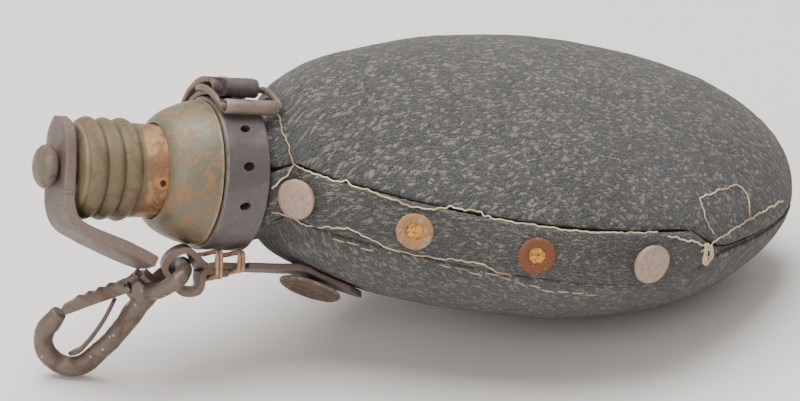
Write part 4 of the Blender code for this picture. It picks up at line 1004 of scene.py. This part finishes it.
roller_axis = Vector(joints["roller_spin"]["axis"]).normalized()
roller_outline = [(-7.9, 1.4), (-7.9, 2.0), (-7.65, 2.2), (-4.2, 2.16), (0, 2.2), (3.8, 2.14), (7.65, 2.2),
                  (7.9, 2.0), (7.9, 1.4)]
roller = lathe("buckle_roller_tube", roller_outline,
               facing(joints["roller_spin"]["pos_m"], roller_axis), 48)
uneven(roller, 0.003, 0.00035)
dress(roller, worn_roller, "roller", ("buckle_roller",), 50)

# %% [markdown]
# ## The loop for the hook
# A narrow leather loop goes through the hook's eye and back on itself. The strip twists a quarter
# turn on its way, from flat under the neck to standing in the eye, so its direction across is
# blended from one to the other along its length.

# %% Hook loop
LOOP_HALF, LOOP_THICK = 3.9, 1.9
EYE_LEAN = math.radians(-21)
hook_place = Vector(joints["hook_swing"]["pos_m"])
hook_along = Vector((-0.5963, 0.3683, -0.7133)).normalized()
hook_aside = Vector((0.6068, -0.3748, -0.7009)).normalized()
hook_flat = hook_along.cross(hook_aside)
eye_across = hook_along * math.sin(EYE_LEAN) + hook_flat * math.cos(EYE_LEAN)


def near_eye(s, v):
    """A place in the plane of the eye, along and aside from the hook's swing axis."""
    lean = Matrix.Rotation(EYE_LEAN, 3, "Y") @ Vector((s, v, 0))
    return hook_place + (hook_along * lean.x + hook_aside * lean.y + hook_flat * lean.z) * MM


loop_route = [(harness(-13.6, 28.75), 0), (harness(-17.4, 28.75), 0), (harness(-20.6, 28.75), 0.2),
              (near_eye(1.6, 7.4), 0.8), (near_eye(4.8, 4.6), 1), (near_eye(4.5, 0.2), 1),
              (near_eye(3.4, -4.0), 1), (near_eye(-0.4, -5.1), 0.95), (near_eye(-4.6, -2.9), 0.8),
              (harness(-20.6, 26.55), 0.1), (harness(-17.4, 26.55), 0), (harness(-9.2, 26.55), 0)]
LOOP_SPAN = 8
loop_path = smooth_curve([place for place, share in loop_route], LOOP_SPAN)
shares = np.interp(np.arange(len(loop_path)) / LOOP_SPAN, np.arange(len(loop_route)),
                   [share for place, share in loop_route])
loop_across = [harness_across.lerp(eye_across, share).normalized() for share in shares]
loop = lay_strap("hook_loop_strip", loop_path, loop_across, [LOOP_HALF * MM] * len(loop_path),
                 LOOP_THICK * MM, 8)
uneven(loop, 0.006, 0.0004)
dress(loop, loop_leather, "flask", ("hook_loop",), 40)

# %% [markdown]
# ## The strap under the flask
# The strap behind the harness lies against the wool, so its solid already follows the cover. The
# piece starts from that solid: an even skin, rounded edges, and a Lay map measured along the neck
# and across the harness for the leather finish. A disc-headed rivet holds it, and copper wire
# staples bind it to the loop. Each staple is two turns of wire, side by side.

# %% Back strap, disc rivet and staples
BACK_STRAP_HALF = 7.5
back_strap = casting("back_strap", "under_strap", 0.0004, 2, 0.008, 0.0004)
lay_layer = back_strap.data.uv_layers.new(name="Lay")
for corner in back_strap.data.loops:
    spot = back_strap.data.vertices[corner.vertex_index].co
    side = (spot - harness(0, 0)).dot(harness_across) / (BACK_STRAP_HALF * MM)
    lay_layer.data[corner.index].uv = ((to_flask @ spot).x, side)
dress(back_strap, back_leather, "flask", ("back_strap",))

disc_outline = [(-1.9, 0), (-1.9, 2.2), (0, 2.2), (0, 9.0), (0.3, 9.2), (0.7, 9.15), (1.05, 8.8),
                (1.3, 8.0), (1.5, 6.6), (1.5, 5.9), (1.1, 5.2), (0.95, 4.2), (1.0, 2.0), (1.0, 0)]
disc = lathe("disc_head_rivet", disc_outline, facing((-0.041188, -0.013423, 0.024654),
             (-0.5073, -0.4678, -0.7237)), 72, False)
uneven(disc, 0.004, 0.0004)
dress(disc, disc_brass, "flask", ("disc_rivet",), 50)

STAPLE_HALF, STAPLE_TOP, STAPLE_WIRE, STAPLE_APART = 8.25, 22.9, 0.56, 0.6
for number, middle, low in ((1, -18.3, 30.25), (2, -11.5, 28.05)):
    turns = []
    for turn in (-1, 1):
        corners = []
        for side, depth, angle in ((1, STAPLE_TOP, 90), (-1, STAPLE_TOP, 180), (-1, low, 270), (1, low, 0)):
            inner_side = side * (STAPLE_HALF - 0.9)
            inner_depth = depth + (0.9 if depth == STAPLE_TOP else -0.9)
            for bend in (0, 30, 60, 90):
                way = math.radians(angle + bend - 90)
                corners.append(harness(middle + turn * STAPLE_APART, inner_depth - 0.9 * math.sin(way),
                                       inner_side + 0.9 * math.cos(way)))
        path = spaced(corners + corners[:1], 61)[0][:-1]
        wire = rod(f"staple_{number}_{turn}", path, STAPLE_WIRE, True)
        uneven(wire, 0.004, 0.0006, 0.05 * turn)
        turns.append(wire)
    select_nothing()
    for wire in turns:
        wire.select_set(True)
    bpy.context.view_layer.objects.active = turns[0]
    bpy.ops.object.join()
    turns[0].name = f"binding_wire_{number}"
    dress(turns[0], copper_thread, "flask", (f"loop_binding_{number}",))

# %% [markdown]
# ## The snap hook
# The hook is a small forging, filed smooth and gone brown, with bright wear where it rubs. Its
# solid gives the true bend and the gate's travel. Rebuilding it as one even skin and smoothing
# rounds every edge, and soft noise takes the machine look away. The gate keeps its own body.

# %% Snap hook
hook = casting("hook_body", "snap_hook", 0.00034, 16, 0.004, 0.0005)
dress(hook, hook_steel, "hook", ("hook_body",))
gate = casting("hook_gate", "snap_gate", 0.0002, 3, 0.003, 0.0002)
dress(gate, hook_steel, "gate", ("hook_gate",))
spring = casting("gate_spring", "snap_spring", 0.00016, 2, 0.003, 0.0001)
dress(spring, hook_steel, "hook", ("gate_spring",))
pin = casting("gate_pin", "snap_pin", 0.00016, 3, 0.002, 0.0001)
dress(pin, hook_steel, "hook", ("gate_pin",))

# %% [markdown]
# ## The press studs
# Four studs close the flap. The first and the last still have their plated caps. The two in the
# middle have lost them, which leaves the rusty socket ring and its crumbling middle. All are turned
# outlines, set on the flap by their place and the way out of it.

# %% Press studs
STUDS = (((-0.048518, -0.023844, 0.058428), (-0.7657, -0.6218, 0.1646)),
         ((-0.022059, -0.045871, 0.052994), (-0.5190, -0.8475, 0.1116)),
         ((0.009031, -0.060525, 0.046312), (-0.2662, -0.9622, 0.0572)),
         ((0.042956, -0.062717, 0.039021), (0.1595, -0.9866, -0.0343)))
cap_shape = [(1.2, 0), (1.15, 5.3), (1.2, 5.68), (1.5, 5.85), (1.8, 5.8), (2.1, 5.45), (2.28, 4.6),
             (2.4, 3.2), (2.45, 1.6), (2.42, 0)]
socket_shape = [(-0.6, 3), (-0.6, 2.5), (0.5, 2.45), (0.85, 2.7), (0.92, 3.4), (0.9, 4.4), (0.75, 5.1),
                (0.5, 5.4), (0.25, 5.39), (0.25, 3)]
post_shape = [(-1.6, 0), (-1.6, 1.5), (-0.5, 1.5), (-0.2, 1.1), (-0.1, 0.5), (-0.1, 0)]
crumble_shape = [(-0.5, 0), (-0.5, 2.4), (0.3, 2.45), (0.45, 1.9), (0.35, 1.0), (0.4, 0)]
for number, (place, outward) in enumerate(STUDS, 1):
    spot = facing(place, outward)
    bare = number in (2, 3)
    ring = lathe(f"stud_ring_{number}", socket_shape, spot, 48)
    uneven(ring, 0.0015, 0.0006 if bare else 0.0001, 0.03 * number)
    dress(ring, ring_rust if number == 2 else dark_ring_rust if number == 3 else stud_plating, "flap",
          (f"stud_socket_{number}",), 60)
    post = lathe(f"stud_pin_{number}", crumble_shape if bare else post_shape, spot, 32, False)
    if bare:
        apply(post, "SUBSURF", levels=2, render_levels=2, subdivision_type="SIMPLE")
        uneven(post, 0.0011, 0.0011, 0.03 * number)
    dress(post, centre_rust if bare else inner_steel, "flask", (f"stud_post_{number}",), 60)
    if not bare:
        cap_disc = lathe(f"stud_cap_{number}_disc", cap_shape, spot, 56, False)
        uneven(cap_disc, 0.003, 0.00035, 0.03 * number)
        dress(cap_disc, stud_plating, "flap", (f"stud_cap_{number}",), 55)

# %% [markdown]
# ## What the cover hides
# The flask's shell, its neck and the seal keep their solids, because their shapes are right and
# almost nothing of them shows. They only need their finishes: dull steel and old cork.

# %% Hidden solids
for name, finish in (("flask_shell", inner_steel), ("flask_neck", inner_steel), ("cap_seal", cork)):
    for place in frame["nodes"][name].material_slots:
        place.material = finish
print("finished the shell, the neck and the seal")

# %% [markdown]
# ## The thread
# The long seams are one thread laid on the wool, which dips out of sight now and then, so each is
# a thin wire dropped on to the cover. The short mends are single stitches. The knot is a few small
# turns at the end of the flap, where the mender finished off.

# %% Seams
def lay_thread(name, corners, thick, body, dip=0.35):
    """One long thread on the wool, with a slight wander and a dip every few millimetres."""
    path, total = spaced(smooth_curve([at(*corner) for corner in corners], 10), 12)
    path = spaced(smooth_curve([at(*corner) for corner in corners], 10), max(8, int(total / 0.0011)))[0]
    dropped = []
    for k, place in enumerate(path):
        spot, out = drop_on_wool(place)
        ahead = (path[min(k + 1, len(path) - 1)] - path[max(k - 1, 0)]).normalized()
        side = out.cross(ahead)
        sway = 0.22 * math.sin(k * 0.9) + 0.18 * math.sin(k * 2.3 + 1)
        lift = thick * 0.45 - dip * max(0, math.sin(k * 1.05)) ** 6
        dropped.append(spot + (side * sway + out * lift) * MM)
    row = rod(name, smooth_curve(dropped, 3), thick / 2, False, 8)
    return dress(row, thread, body, ())


lay_thread("seam_top_of_flap", [(-1, -18, 11), (3, -26, 11), (10, -33, 12), (16, -38, 11), (28, -46, 10),
           (35, -49, 12), (45, -54, 12), (56, -58, 11), (72, -62, 12), (89, -61, 11), (105, -59, 9),
           (117, -55, 5)], 0.5, "flap")
lay_thread("seam_up_to_buckle", [(-1, -18, 11), (-2, -16, 14), (-3, -11, 18), (-3, -5, 21)], 0.45, "flask")
lay_thread("seam_under_stud", [(-1, -18, 11), (-3, -19, 8), (-7, -20, 4)], 0.5, "flask")
lay_thread("seam_below_flap", [(-6, -20, -3), (2, -24, -5), (11, -35, -1), (21, -41, -3), (32, -48, -3),
           (44, -55, -2), (54, -57, -5)], 0.42, "flap")
lay_thread("seam_at_end", [(112, -58, 5), (127, -49, 9), (143, -36, 10), (154, -25, 9)], 0.5, "flask")
lay_thread("darn_loop", [(112, -50, 18), (121, -45, 19), (131, -40, 19), (134, -41, 15), (135, -43, 11)],
           0.45, "flask")
lay_thread("darn_tail", [(112, -50, 18), (114, -53, 14), (117, -54, 9)], 0.4, "flask")
sew("mend_1", [(9, -31, -6), (14, -35, -6), (19, -39, -6)], 3.6, 0.3, 0.4, "flask")
sew("mend_2", [(35, -48, -6), (45, -53, -6), (54, -56, -6), (62, -57, -8), (82, -59, -9)], 3.8, 0.4, 0.4,
    "flask")
knot_middle = drop_on_wool(at(115, -57, 4))
knot_turns = []
for k in range(46):
    turn = k * 0.62
    wide = 1.5 + 0.6 * math.sin(k * 0.37)
    over = Vector((math.cos(turn) * wide, 0, math.sin(turn) * wide * 1.6))
    place, out = drop_on_wool(knot_middle[0] + over * MM)
    knot_turns.append(place + out * (0.5 + 0.35 * math.sin(k * 1.7)) * MM)
knot = rod("mender_knot", smooth_curve(knot_turns, 3), 0.3, False, 8)
dress(knot, thread, "flask", ())
